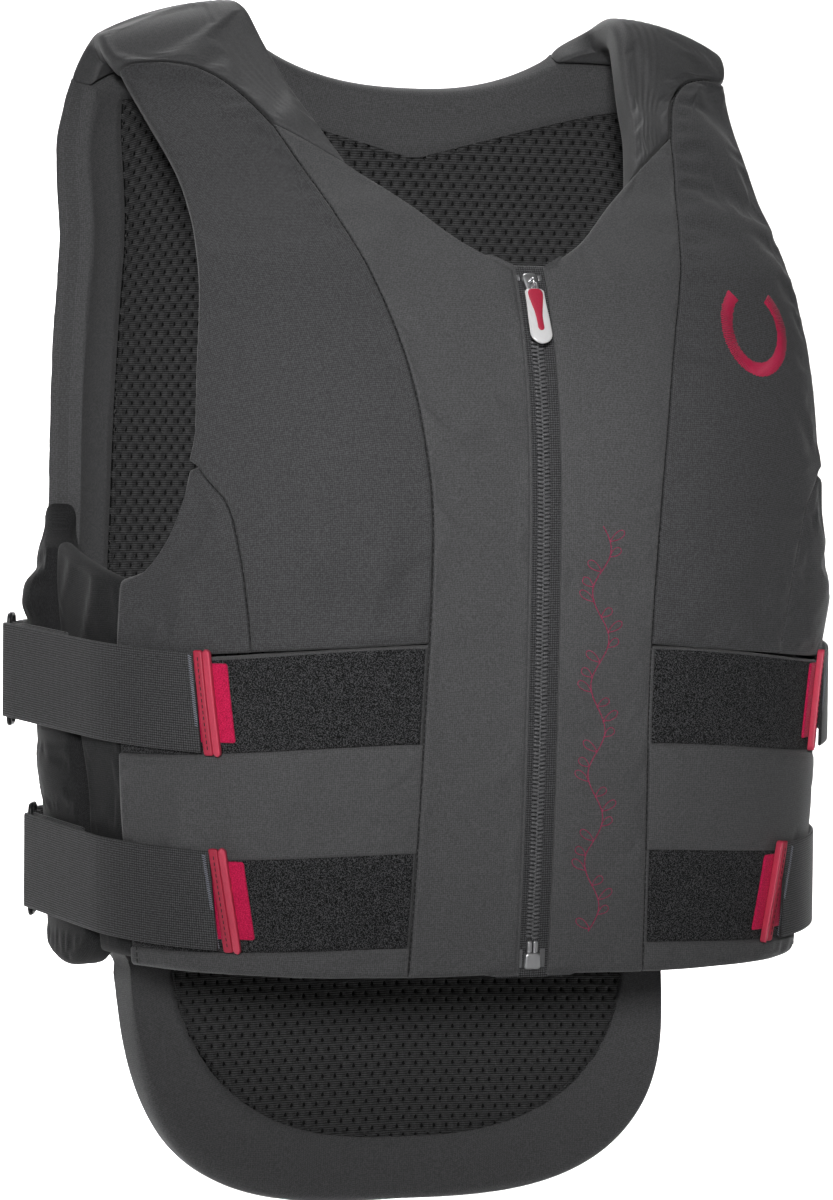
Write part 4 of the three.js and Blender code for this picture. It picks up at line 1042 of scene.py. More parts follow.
@dataclass
class ChestPad(Pad):
    """Chest pad from its rounded top on the shoulder down to the upper band."""

    node: str = "chest_pad"
    columns: int = 64
    rows: int = 130
    slack: float = 0.02
    cap: float = 1.8
    finish: Cloth = STRETCH

    def rims(self, grid: Grid) -> Rolls:
        """Full at the armhole and sewn elsewhere."""
        return Rolls(SEAM, lerp(5.5, SEAM, rise(grid.v / FORM.length, 0.455, 0.484)), 2, SEAM)

    def place(self, a: Array, b: Array) -> tuple[Array, Array]:
        """From the princess seam to the armhole and underarm seam, by angle."""
        sign = self.side.value
        foot = FORM.upper_band - 1 + FORM.band_side_fall * a / 2 - 0.25
        drop = lerp(foot, 0.045 * FORM.length, b)
        seam = np.where(drop < 0.139 * FORM.length, FORM.edge(YOKE_EDGE, drop, sign),
                        FORM.edge(PRINCESS_SEAM, drop, sign))
        arm = np.where(drop < 0.484 * FORM.length, FORM.edge(FRONT_ARMHOLE, drop, sign),
                       FORM.edge(UNDERARM_SEAM, drop, sign))
        low = FORM.angle_of(seam + 0.5, drop, sign)
        high = FORM.angle_of(np.maximum(arm - 0.25, seam + 5), drop, sign)
        return sign * lerp(low, high, a), drop

    def relief(self, grid: Grid) -> Array:
        """Soft folds above the band, and puckers along the princess seam's bend."""
        x, z = grid.points[..., 0], grid.points[..., 2]
        edge = 1 - np.exp(-grid.from_rim / 12)
        folds = 1.7 * hump(grid.from_foot, 34, 24) * ripple(x * 1.8, z, 62, 11 + self.side.value)
        slack = 0.35 * ripple(x, z, 80, 21 + self.side.value)
        puckers = 0.3 * np.exp(-grid.from_first / 8) * np.sin(grid.from_foot / 11 * 2 * math.pi / 1.3)
        return edge * (folds + slack) + puckers * rise(grid.from_first, 0, 2)


@dataclass
class UnderarmPad(Pad):
    """Underarm pad between the chest pad, the armhole and the side edge."""

    node: str = "underarm_pad"
    columns: int = 40
    rows: int = 56
    thickness: float = 16
    slack: float = 0.02
    cap: float = 1.8
    finish: Cloth = STRETCH

    def rims(self, grid: Grid) -> Rolls:
        """Full at the armhole and sewn elsewhere."""
        return Rolls(SEAM, SEAM, 2, 5.5)

    def seam(self, drop: Array) -> Array:
        """Angle of the underarm seam at a drop."""
        sign = self.side.value
        return FORM.angle_of(FORM.edge(UNDERARM_SEAM, drop, sign) + 0.25, drop, sign)

    def place(self, a: Array, b: Array) -> tuple[Array, Array]:
        """From the bowed underarm seam to the side edge, and from the band to the armhole."""
        sign = self.side.value
        top = FORM.length * lerp(0.487, 0.6, a**1.3)
        foot = FORM.upper_band - 1 + FORM.band_side_fall * lerp(0.5, 1, a)
        at_top = np.minimum(FORM.angle_of(FORM.edge(FRONT_ARMHOLE, top, sign), top, sign), FORM.side_edge)
        at_top = lerp(self.seam(top), at_top, rise(a, 0, 0.08))
        foot_first = FORM.upper_band - 1 + FORM.band_side_fall * 0.5
        top_first = FORM.length * 0.487
        at_foot = lerp(self.seam(foot_first), FORM.side_edge, a)
        straight = lerp(self.seam(foot_first), self.seam(top_first), b)
        bow = self.seam(lerp(foot_first, top_first, b)) - straight
        return sign * (lerp(at_foot, at_top, b) + (1 - a) ** 2 * bow), lerp(foot, top, b)

    def relief(self, grid: Grid) -> Array:
        """Soft creases under the arm."""
        edge = 1 - np.exp(-grid.from_rim / 10)
        return 0.6 * edge * ripple(grid.u * 3.2, grid.points[..., 2], 46, 31 + self.side.value)


@dataclass
class WaistPad(Pad):
    """Waist pad with two shallow recesses for the loop tape."""

    node: str = "waist_pad"
    columns: int = 56
    rows: int = 150
    recess: float = 1.7

    def rims(self, grid: Grid) -> Rolls:
        """Rounded at the side edge and the hem."""
        return Rolls(SEAM, 2.5, 4, SEAM)

    def place(self, a: Array, b: Array) -> tuple[Array, Array]:
        """From the princess seam to the side edge, with lines that run lower at the side."""
        sign = self.side.value
        drop = lerp(FORM.hem, FORM.upper_band, b)
        seam = FORM.angle_of(FORM.edge(PRINCESS_SEAM, drop, sign) + 0.25, drop, sign)
        angle = lerp(seam, FORM.side_edge, a)
        foot = rise(drop, FORM.lower_band + FORM.band_height + 2, FORM.hem)
        fall = FORM.waist_fall(angle, drop)
        hem = -FORM.band_side_fall * rise(angle, 20, FORM.side_edge) * FORM.hem_fall
        return sign * angle, drop + lerp(fall, hem, foot)

    def level(self, grid: Grid) -> Array:
        """Drop of each point before the lines fall to the side."""
        return lerp(FORM.hem, FORM.upper_band, grid.b)

    def held(self, grid: Grid) -> Array:
        """Along the rims and in the recesses of the loop tape."""
        past = [np.abs(self.level(grid) - top - FORM.band_height / 2)
                for top in (FORM.upper_band, FORM.lower_band)]
        return (grid.from_rim < 3) | (np.minimum(*past) < FORM.band_height / 2 + 3)

    def relief(self, grid: Grid) -> Array:
        """Recesses under the bands, and a gentle puff between them."""
        drop = self.level(grid)
        sunk = sum(
            rise(drop, top + 0.6, top + 1.8)
            * (1 - rise(drop, top + FORM.band_height, top + FORM.band_height + 1))
            for top in (FORM.upper_band, FORM.lower_band)
        )
        middle = (FORM.upper_band + FORM.band_height + FORM.lower_band) / 2
        puff = 0.8 * hump(drop, middle, 24) + 0.3 * ripple(grid.u * 3, drop, 60, 41 + self.side.value)
        hem = 0.7 * hump(drop, FORM.hem - 8, 9) * ripple(grid.u * 3, 0 * drop, 34, 45 + self.side.value)
        return -self.recess * sunk + (1 - sunk) * (puff + hem)


@dataclass
class Yoke(Pad):
    """Shoulder strap pad: from the neckline fold up over the crest and a little down the back."""

    node: str = "yoke"
    columns: int = 52
    rows: int = 110
    thickness: float = 17
    finish: Cloth = TIGHT_SHELL
    fold_across: float = 0.74
    crest_scale: float = 100

    def rims(self, grid: Grid) -> Rolls:
        """Full at the neck and over the arm, and sewn to the chest, the fold and the back."""
        return Rolls(6, lerp(SEAM, 6, rise(grid.v, -49, -44)), 2, SEAM)

    def place(self, a: Array, b: Array) -> tuple[Array, Array]:
        """Across from the neck edge to the outer edge, and along the strap from its fold (s < 0)."""
        sign = self.side.value
        across = lerp(self.fold_across, 1, a)
        fold_drop = FORM.centre_top(across) - 0.75
        fold_x = lerp(8, FORM.edge(PRINCESS_SEAM, fold_drop, sign) - 0.5, across)
        back_end = math.sqrt(self.crest_scale * (FORM.back_end - 0.5))
        s = lerp(-np.sqrt(self.crest_scale * fold_drop), back_end, b)
        drop = s * s / self.crest_scale
        behind = lerp(FORM.nape(drop, sign), FORM.edge(BACK_ARMHOLE, drop, sign), a)
        to_fold = (fold_x - self.on_strap(a, fold_drop)) * (1 - rise(b, 0, 0.25))
        return sign * (np.where(s < 0, self.on_strap(a, drop), behind) + to_fold), s

    def on_strap(self, a: Array, drop: Array) -> Array:
        """Half width across the strap's front, from the neck edge to the outer edge."""
        sign = self.side.value
        return lerp(FORM.neck(drop, sign), FORM.edge(YOKE_EDGE, drop + 1, sign), a)

    def surface(self, u: Array, v: Array) -> Array:
        """The form over the crest: drop is the square of the path over its scale."""
        drop = v * v / self.crest_scale
        front, back = FORM.by_width(u, drop, Face.FRONT), FORM.by_width(u, drop, Face.BACK)
        return np.where((v < 0)[..., None], front, back)

    def relief(self, grid: Grid) -> Array:
        """Faint pull lines over the strap, and fine pleats beside the neck."""
        edge = 1 - np.exp(-grid.from_rim / 12)
        pleats = 0.17 * hump(grid.from_first, 17, 12) * np.sin(grid.from_first * 1.25 + grid.v * 0.03)
        return 0.3 * edge * ripple(grid.u * 0.6, grid.v, 55, 51 + self.side.value) + pleats


@dataclass
class FrontWing(Pad):
    """Thin wing behind the side edge of the front."""

    node: str = "front_wing"
    columns: int = 24
    rows: int = 70
    thickness: float = 12.5
    # Its cover is painted near black: painted shade for the shade at the side.
    finish: Cloth = SHADED_STRETCH

    def rims(self, grid: Grid) -> Rolls:
        """Sewn to the front's edge and rounded elsewhere."""
        return Rolls(SEAM, 3, 4, 4)

    def place(self, a: Array, b: Array) -> tuple[Array, Array]:
        """From the side edge to the slit between the wings."""
        drop = lerp(FORM.hem - 6, FORM.length * lerp(0.601, 0.568, a), b)
        slit = WING_SLIT(drop / FORM.length)
        return self.side.value * lerp(FORM.side_edge + 0.25, slit - 0.9, a), drop

    def relief(self, grid: Grid) -> Array:
        """Set back under the front's edge."""
        return -2.5 + 0.4 * ripple(grid.u * 3, grid.points[..., 2], 40, 61 + self.side.value)


@dataclass
class BackWing(Pad):
    """Full back wing with a rounded foot, gathered by the straps that cross it."""

    node: str = "back_wing"
    columns: int = 44
    rows: int = 120
    slack: float = 0.025
    cap: float = 1.6
    # Its cover is painted near black: painted shade for the shade at the side.
    finish: Cloth = SHADED_STRETCH
    outset: float = 4
    flare: float = 5.5
    taper: float = 9
    inner_roll: float = 5
    straps: tuple[float, float] = (364, 464)

    def rims(self, grid: Grid) -> Rolls:
        """Full all round."""
        return Rolls(3, 5, 6, 3)

    def place(self, a: Array, b: Array) -> tuple[Array, Array]:
        """From the back pad's edge to the slit, with a foot that rounds off to the back."""
        sign = self.side.value
        late = a**6
        round_it = np.sqrt(1 - (1 - a) ** 2)
        foot = FORM.length * lerp(0.955, 1.012, round_it * (1 - late) + 0.3 * late)
        drop = lerp(foot, FORM.length * lerp(0.53, 0.575, a), b)
        back = FORM.by_width(sign * (FORM.edge(BACK_ARMHOLE, drop, sign) + 1.0), drop, Face.BACK)
        start = 90 + np.degrees(np.arctan2(back[..., 1] - FORM.shoulder_y, np.abs(back[..., 0])))
        return sign * lerp(start, WING_SLIT(drop / FORM.length) + 0.9, a), drop

    def held(self, grid: Grid) -> Array:
        """Along the rims and under the straps."""
        from_strap = np.minimum(*(np.abs(grid.v - level) for level in self.straps))
        return (grid.from_rim < 3) | (from_strap < 34)

    def relief(self, grid: Grid) -> Array:
        """Drawn out by the straps, pressed in under them, and flared and crumpled above the upper one."""
        across = np.sin(math.pi * grid.a)
        press = sum(hump(grid.v, level, 20) for level in self.straps)
        flare = self.flare * hump(grid.v, 322, 13) + 1.2 * hump(grid.v, 412, 20)
        flare = flare - self.taper * (1 - rise(grid.v, 262, 318))
        folds = np.sin(grid.v * 0.4 + grid.a * 5) + 0.8 * ripple(grid.u * 2.4, grid.v, 26, 71)
        return across * (self.outset - 0.9 * press + flare + 0.5 * hump(grid.v, 312, 18) * folds)


@dataclass
class BackPad(Pad):
    """The long back pad: dipped at the nape, down to the rounded tail."""

    node: str = "back_pad"
    columns: int = 150
    rows: int = 190
    dip: float = 0.0
    cap: float = 1.0
    inner_roll: float = 6
    border_rise: float = 1.6

    @property
    def name(self) -> str:
        """There is one back pad."""
        return self.node

    def rims(self, grid: Grid) -> Rolls:
        """Full all round, but sewn to the yokes beside the nape."""
        nape = FORM.nape(np.array(FORM.back_end), np.sign(grid.u))
        return Rolls(6, 6, lerp(6, SEAM, rise(np.abs(grid.u) / nape, 0.96, 1.02)), 6)

    def place(self, a: Array, b: Array) -> tuple[Array, Array]:
        """Across between the armhole edges, and down from the nape to the tail's U."""
        across = np.sin((a - 0.5) * math.pi)
        sign = np.sign(across)
        back_end = np.array(FORM.back_end)
        arm, nape = FORM.edge(BACK_ARMHOLE, back_end, sign), FORM.nape(back_end, sign)
        share = np.clip(np.abs(across * arm) / nape, 0, 1)
        top = lerp(0.075 * FORM.length, back_end, share**2.4)
        foot = lerp(1.02 * FORM.length, FORM.tip, np.cbrt(1 - np.abs(across) ** 3))
        drop = lerp(top, foot, b)
        return across * FORM.edge(BACK_ARMHOLE, drop, sign), drop

    def surface(self, u: Array, v: Array) -> Array:
        """The back surface by half width."""
        return FORM.by_width(u, v, Face.BACK)

    def relief(self, grid: Grid) -> Array:
        """A soft crown inside the outer face's border seam."""
        inside = rise(grid.from_rim, 20, 34)
        return -0.5 * hump(grid.from_rim, 24, 2.0) + 0.5 * inside * ripple(grid.u, grid.v, 110, 81)

    def foam(self, grid: Grid) -> Array:
        """Inside, the smooth border stands a little proud of the bed of the lining."""
        edge = FORM.edge(LINING_EDGE, grid.v, np.sign(grid.u))
        share = np.abs(grid.u) / edge
        top = FORM.length * (0.15 - 0.082 * np.minimum(share, 1))
        foot = lerp(0.98 * FORM.length, FORM.tip - 37, np.maximum(1 - share**2.5, 0) ** (1 / 2.5))
        outside = np.maximum.reduce([np.abs(grid.u) - edge, top - grid.v, grid.v - foot])
        return self.thickness + self.border_rise * rise(outside, 0.3, 3) * rise(grid.from_rim, 2, 14)


# Lining.


@dataclass
class Lining:
    """Perforated spacer mesh on the inside of the back pad, cut to a V below the nape.

    Attributes:
        pitch_x: From hole to hole along a row, mm.
        pitch_z: From row to row, mm; every other row is shifted by half a pitch.
        hole: Half width and half height of a hole, mm.
        depth: How far a hole's wall runs in, mm.
        face: Depth of the mesh's face on the form, mm.
        half: Half width of the cloth that it is cut from, mm.
        cut: Width and length of the cut piece, m; not used.
        cut_share: Share of that rectangle that its rounded outline fills; not used.
    """

    pitch_x: float = 7.4
    pitch_z: float = 5.0
    hole: tuple[float, float] = (1.2, 1.8)
    depth: float = 1.6
    face: float = 20.4
    half: float = 186
    cut: tuple[float, float] = (0.345, 0.56)
    cut_share: float = 0.86

    def outline(self, x: Array, drop: Array) -> tuple[Array, Array]:
        """Places drawn in to the lining's outline: its side edges, V top and U foot."""
        sign = np.sign(x)
        for _ in range(2):
            edge = FORM.edge(LINING_EDGE, drop, sign)
            x = np.clip(x, -edge, edge)
            share = np.abs(x) / edge
            top = FORM.length * (0.15 - 0.082 * share)
            foot = lerp(0.98 * FORM.length, FORM.tip - 37, np.maximum(1 - share**2.5, 0) ** (1 / 2.5))
            drop = np.clip(drop, top, foot)
        return x, drop

    def cell(self) -> tuple[Array, Array]:
        """One cell of the mesh: rings of its border, the hole's rim and the wall's foot.

        Returns:
            Flat places from the cell's centre, (3, 8, 2), and depths of the rings.
        """
        border = np.array([[-1, -1], [0, -1], [1, -1], [1, 0], [1, 1], [0, 1], [-1, 1], [-1, 0]], float)
        border = border * [self.pitch_x / 2, self.pitch_z / 2]
        turn = np.arctan2(border[:, 1] * 1.3, border[:, 0])
        drop_shape = 1 + 0.22 * np.sin(turn)  # narrower above, like a drop
        rim = np.stack([np.cos(turn) * self.hole[0] * drop_shape, np.sin(turn) * self.hole[1]], -1)
        return np.stack([border, rim, rim * 0.8]), np.array([0, 0.25, self.depth])

    def build(self) -> bpy.types.Object:
        """Lays the cells in rows over the outline's box and draws the edge cells in to it."""
        rows = np.arange(0.05 * FORM.length, FORM.tip - 30, self.pitch_z)
        columns = np.arange(-self.half, self.half, self.pitch_x)
        column, row = np.meshgrid(columns, rows)
        column = column + (np.arange(len(rows)) % 2)[:, None] * self.pitch_x / 2
        rings, depths = self.cell()
        x = column.reshape(-1, 1, 1) + rings[None, ..., 0]
        drop = row.reshape(-1, 1, 1) + rings[None, ..., 1]
        inner_x, inner_drop = self.outline(x, drop)
        kept = (np.hypot(inner_x - x, inner_drop - drop)[:, 0] < 1e-6).sum(-1) > 1
        x, drop = inner_x[kept], inner_drop[kept]
        surface = BackPad().surface
        normals = FORM.normals(surface, x, drop)
        sunk = (self.face - 0 * x - depths[None, :, None])[..., None]
        points = surface(x, drop) - normals * sunk
        start = (np.arange(len(x)) * 24)[:, None, None]
        k = np.arange(8)
        after = (k + 1) % 8
        ring = np.stack([k, after, 8 + after, 8 + k], -1)
        faces = np.concatenate([ring, ring + 8])[None] + start
        net = Net(points.reshape(-1, 3), [faces.reshape(-1, 4)], np.stack([x, drop], -1).reshape(-1, 2))
        face = net.faces[0][:8]
        a, b, c = (net.points[face[0, i]] for i in range(3))
        if np.cross(b - a, c - a)[1] > 0:
            net.faces = [f[:, ::-1] for f in net.faces]
        piece = dress("lining_mesh", net, SPACER, replaces=("back_lining",))
        self.backing()
        self.edge_stitches()
        return piece

    def backing(self) -> None:
        """The mesh's back layer behind its holes."""
        a, b = np.meshgrid(np.linspace(-1, 1, 60), np.linspace(0, 1, 90))
        x = 1.05 * self.half * a
        x, drop = self.outline(x, lerp(0.05 * FORM.length, FORM.tip - 30, b))
        surface = BackPad().surface
        normals = FORM.normals(surface, x, drop)
        points = surface(x, drop) - normals * (self.face - self.depth - 0.1)
        net = Net(points.reshape(-1, 3), [quads(*x.shape)], np.stack([x, drop], -1).reshape(-1, 2))
        piece = dress("lining_backing", net, BACKING)

    def edge_stitches(self) -> None:
        """A row of stitches just inside the lining's edge."""
        turn = np.linspace(0, 2 * math.pi, 900)
        x = 1.1 * self.half * np.sin(turn)
        drop = 0.55 * FORM.length - 0.75 * FORM.length * np.cos(turn)
        x, drop = self.outline(x, drop)
        middle = np.array([0.0, 0.55 * FORM.length])
        flat = np.stack([x, drop], -1)
        flat = flat + unit(middle - flat) * 2.2
        surface = BackPad().surface
        normals = FORM.normals(surface, flat[:, 0], flat[:, 1])
        path = surface(flat[:, 0], flat[:, 1]) - normals * (self.face + 0.1)
        dress("lining_stitches", sewn(path, -normals, length=2.4, pitch=3.6, radius=0.28), THREAD)


# Waist: loop bands and straps.


@dataclass
class LoopBand:
    """Loop tape lying in a waist pad's recess."""

    side: Side
    top: float
    label: str
    columns: int = 170
    rows: int = 52
    face: float = -0.3
    thickness: float = 1.1
    nap: float = 0.35

    def build(self) -> bpy.types.Object:
        """A grid between the princess seam and the side edge with a nap of small bumps."""
        sign = self.side.value
        a, down = np.meshgrid(np.linspace(0.012, 0.985, self.columns),
                              np.linspace(1.3, FORM.band_height - 0.3, self.rows))
        drop = self.top + down
        seam = FORM.angle_of(FORM.edge(PRINCESS_SEAM, drop, sign) + 0.25, drop, sign)
        angle = lerp(seam, FORM.side_edge, a)
        v = drop + FORM.waist_fall(angle, drop)
        base = FORM.by_angle(sign * angle, v)
        normals = FORM.normals(FORM.by_angle, sign * angle, v)
        flat = flat_of(base)
        rim = np.minimum.reduce([flat[..., 0], flat[:, -1:, 0] - flat[..., 0],
                                 flat[..., 1], flat[-1:, :, 1] - flat[..., 1]])
        draw = np.random.default_rng(7 + sign)
        fuzz = self.nap * draw.uniform(-1, 1, a.shape) * rise(rim, 0, 1)
        lift = self.face + fuzz - 0.5 * np.exp(-rim / 0.8)
        outer = base + normals * lift[..., None]
        inner = base + normals * (self.face - self.thickness)
        name = f"loop_band_{self.label}_{self.side.label}"
        piece = dress(f"{name}_tape", closed(outer, inner, flat), LOOP, replaces=(name,))
        f"waist_pad_{self.side.label}_cover"
        return piece


def webbing_section(width: float, thickness: float) -> Array:
    """Outline of a flat band standing on edge, its two edges rounded; it starts at the lower edge."""
    half, r = width / 2, thickness / 2
    turn = np.radians(np.array([-60, -30, 0, 30, 60]))
    heights = np.concatenate([[-0.46, -0.3, -0.1, 0.1, 0.3, 0.46]]) * width
    right = np.stack([r + 0 * heights, heights], -1)
    top = np.stack([-r * np.sin(turn), half - r + r * np.cos(turn)], -1)
    left = np.stack([-r + 0 * heights, heights[::-1]], -1)
    foot = np.stack([r * np.sin(turn), -half + r - r * np.cos(turn)], -1)
    section = np.concatenate([right, top, left, foot])
    return np.roll(section, 3, axis=0)


@dataclass
class WaistStrap:
    """One waist strap with its ring, anchor, hook patch and grip.

    Attributes:
        side: The wearer's side.
        label: Upper or lower.
        level: Height of the strap's middle on the pad, mm.
        ring_level: Height of the ring's middle, mm.
        ring_y: The ring's front bar, mm.
        stand_off: How far the ring stands out from the form, mm.
        end: Angle of the strap's end, degrees.
    """

    side: Side
    label: str
    level: float
    ring_level: float
    ring_y: float
    stand_off: float
    end: float
    width: float = 50
    thickness: float = 1.6
    leave: float = 68
    rise_off: float = 1.4
    climb: float = 0.42
    shear: float = 0.1
    wire: float = 2.6
    ring_length: float = 14
    ring_over: float = 4
    ring_corner: float = 3
    lean: float = 24
    under: float = 1.6
    grip_width: float = 8.6
    face_width: float = 4.6
    grip_height: float = 54
    grip_thickness: float = 3.9
    face_thickness: float = 2.4
    patch_shows: float = 7.5
    patch_length: float = 34
    patch_height: float = 40

    @property
    def name(self) -> str:
        """Upper or lower, and the side."""
        return f"{self.label}_{self.side.label}"

    @property
    def turn_radius(self) -> float:
        """Radius of the webbing's middle round a ring's bar."""
        return self.wire / 2 + 0.5 + self.thickness / 2

    def bars(self) -> tuple[Array, Array]:
        """The two upright bars of the ring: the strap's in front and the anchor's behind."""
        sign, lean = self.side.value, math.radians(self.lean)
        out = float(FORM.half_width(np.array(FORM.crest - self.ring_level), sign)) + self.stand_off
        front = np.array([sign * out, self.ring_y, self.ring_level])
        return front, front + self.ring_length * np.array([-sign * math.sin(lean), math.cos(lean), 0])

    def stand(self, angle: Array, level: Array) -> Array:
        """How far an upright band stands off to clear the form at its upper and lower edges."""
        base = FORM.on_front(angle, level)
        out = FORM.on_front(angle, level, 1.0 + 0 * angle) - base
        proud = [((FORM.on_front(angle, level + half * self.width) - base) * out * [1, 1, 0]).sum(-1)
                 for half in (-0.5, 0.5)]
        return np.maximum(0, np.maximum(*proud))

    @staticmethod
    def half_turn(bar: Array, start: Array, ahead: Array, radius: float, steps: int = 18) -> Array:
        """A half circle round a bar, from start's side through ahead to the other side."""
        turn = np.linspace(0, math.pi, steps)[:, None]
        return bar + radius * (start * np.cos(turn) + ahead * np.sin(turn))

    def strap_path(self) -> Array:
        """Along the pad, straight to the ring, round its bar and back under itself."""
        sign = self.side.value
        t = np.linspace(0, 1, 40)
        angle = sign * lerp(self.end, self.leave, t)
        level = self.level + self.climb * (self.ring_level - self.level) * t
        lift = self.under + self.thickness / 2 + self.rise_off * t + self.stand(angle, level)
        on_pad = FORM.on_front(angle, level, lift)
        front, _ = self.bars()
        run = unit((front - on_pad[-1]) * [1, 1, 0])
        outward = np.array([sign * run[1], -sign * run[0], 0])
        turn = self.half_turn(front, outward, run, self.turn_radius)
        straight = lerp(on_pad[-1], turn[0], np.linspace(0, 1, 18)[1:-1, None])
        back = np.linspace(0.04, 1, 24)
        closing = rise(back, 0, 0.35)
        reach = 60 / np.linalg.norm(turn[0] - on_pad[-1])
        inset = lerp(2 * self.turn_radius, self.thickness + 0.3, closing)
        returned = lerp(turn[0], on_pad[-1], (back * reach)[:, None]) - outward * inset[:, None]
        returned[:, 2] += 1.2 * closing
        path = np.concatenate([on_pad, straight, turn, returned])
        return path

    def anchor_path(self) -> Array:
        """From the back pad round the ring's rear bar and back under itself."""
        sign = self.side.value
        _, rear = self.bars()
        drop = FORM.crest - self.ring_level
        inner = 3.2 + self.thickness / 2
        outer = inner + self.thickness + 0.3
        angle = np.interp(np.linspace(0, 4, 30), range(5), (93, 97.5, 100.5, 103.5, 107))

        def on_back(lift: float) -> Array:
            """Points on the form's back at the ring's height, out by a lift."""
            at = sign * angle
            normal = FORM.normals(FORM.by_angle, at, drop + 0 * at) * [1, 1, 0]
            room = 4 * (1 - rise(angle, 97.5, 100.5))
            points = FORM.by_angle(at, drop + 0 * at) + unit(normal) * (lift + room)[:, None]
            points[:, 2] = self.ring_level
            return points

        first = on_back(inner)
        run = unit((rear - first[0]) * [1, 1, 0])
        outward = np.array([-sign * run[1], sign * run[0], 0])
        turn = self.half_turn(rear, outward, run, self.turn_radius)
        return np.concatenate([on_back(outer)[::-1], turn, first])

    def band(self, path: Array, lean: float = 0.0) -> Net:
        """The webbing along a path in plan, whose first end may lean by a share of its height."""
        ahead = tangents(path) * [1, 1, 0]
        side = unit(np.stack([-ahead[:, 1], ahead[:, 0], 0 * ahead[:, 0]], -1))
        up = np.tile([0.0, 0, 1], (len(path), 1))
        section = webbing_section(self.width, self.thickness)
        net = swept(path, side, up, section)
        share = np.interp(arc(path[:, None], 0)[:, 0], (0, 30), (lean, 0))
        rings = net.points[: len(path) * len(section)].reshape(len(path), len(section), 3)
        rings += (rings[..., 2:] - path[:, None, 2:]) * (share[:, None] * unit(ahead))[:, None]
        return net

    def ring(self) -> Net:
        """A rounded rectangle of wire between the two bars."""
        front, rear = self.bars()
        middle, ahead = (front + rear) / 2, unit(rear - front)
        height, r = self.width + 2 * self.ring_over, self.ring_corner
        turn = np.radians(np.concatenate([start + np.linspace(0, 90, 7) for start in (0, 90, 180, 270)]))
        corner = np.repeat([[1, 1], [-1, 1], [-1, -1], [1, -1]], 7, axis=0)
        y = corner[:, 0] * (self.ring_length / 2 - r) + r * np.cos(turn)
        z = corner[:, 1] * (height / 2 - r) + r * np.sin(turn)
        path = middle + ahead * y[:, None] + np.array([0, 0, 1.0]) * z[:, None]
        side = np.tile(np.cross(ahead, [0, 0, 1.0]), (len(path), 1))
        up = np.cross(tangents(path, loop=True), side)
        return swept(path, side, up, circle(self.wire / 2, 12), loop=True)

    def per_mm(self) -> float:
        """Degrees round the section for one millimetre at the strap's end."""
        step = FORM.on_front(np.array([self.end, self.end + 1]), self.level + np.zeros(2))
        return 1 / float(np.linalg.norm(step[1] - step[0]))

    def sheared(self, angle: Array, up: Array) -> Array:
        """An angle at the strap's end, moved out above and in below as the cut end leans."""
        return angle + self.shear * up * self.per_mm()

    def plate(self, start: float, stop: float, height: float, corner: float, lift: float,
              profile: Callable[[Array], Array], columns: int = 24, rows: int = 44) -> Net:
        """A small plate on the form with rounded corners.

        Args:
            start: First angle, degrees.
            stop: Last angle.
            height: Its height, mm.
            corner: Radius of its corners, mm.
            lift: How far its underside lies off the form, mm.
            profile: Thickness in mm against share across.
            columns: Grid columns.
            rows: Grid rows.

        Returns:
            The closed net.
        """
        a, b = np.meshgrid(0.5 - np.cos(np.linspace(0, math.pi, columns)) / 2,
                           0.5 - np.cos(np.linspace(0, math.pi, rows)) / 2)
        wide = abs(stop - start) / self.per_mm()
        near_end = np.clip(1 - (0.5 - np.abs(b - 0.5)) * height / corner, 0, 1)
        inset = corner * (1 - np.sqrt(1 - near_end**2)) / wide
        share = lerp(inset, 1 - inset, a)
        angle = self.side.value * self.sheared(lerp(start, stop, share), (b - 0.5) * height)
        z = self.level + (b - 0.5) * height
        rim = np.minimum.reduce([a * wide, (1 - a) * wide, b * height, (1 - b) * height])
        thick = profile(a) - rounding(rim, 0.9)
        base = FORM.on_front(angle, z)
        out = unit(FORM.on_front(angle, z, 1.0 + 0 * a) - base)
        top, under = lift + thick, lift + rounding(rim, 0.4)
        return closed(base + out * top[..., None], base + out * under[..., None], flat_of(base))

    def build(self) -> None:
        """Makes the strap, anchor, ring, patch, grip and their stitches."""
        name, scale = self.name, self.per_mm()
        dress(f"strap_{name}_webbing", self.band(self.strap_path(), self.shear), ELASTIC,
              replaces=(f"strap_{name}",))
        dress(f"anchor_{name}_webbing", self.band(self.anchor_path()), ELASTIC, replaces=(f"anchor_{name}",))
        dress(f"ring_{name}_wire", self.ring(), WIRE, replaces=(f"ring_{name}",))
        reaches = (self.grip_width, self.face_width, 0)
        start, middle, stop = (self.end - (reach + 0.6) * scale for reach in reaches)
        lip = self.plate(start, middle, self.grip_height, 2.2, self.under, self.lip_profile, columns=16)
        dress(f"grip_{name}_lip", lip, GRIP, replaces=(f"grip_{name}",))
        face = self.plate(middle + 0.05 * scale, stop, self.grip_height - 1, 1.2, self.under,
                          lambda a: self.face_thickness + 0 * a, columns=16)
        dress(f"grip_{name}_face", face, GRIP_FACE)
        patch_from = self.end - (self.grip_width + 0.3 + self.patch_shows) * scale
        patch = self.plate(patch_from, patch_from + self.patch_length * scale, self.patch_height, 1.5, 0.05,
                           lambda a: 1.3 + 0 * a, columns=60, rows=70)
        dress(f"hook_patch_{name}_pile", patch, HOOK, replaces=(f"hook_patch_{name}",))
        self.stitches(scale)

    def lip_profile(self, a: Array) -> Array:
        """Thickness of the lip: it rises towards its free edge."""
        return lerp(self.grip_thickness, self.face_thickness, rise(a, 0, 1))

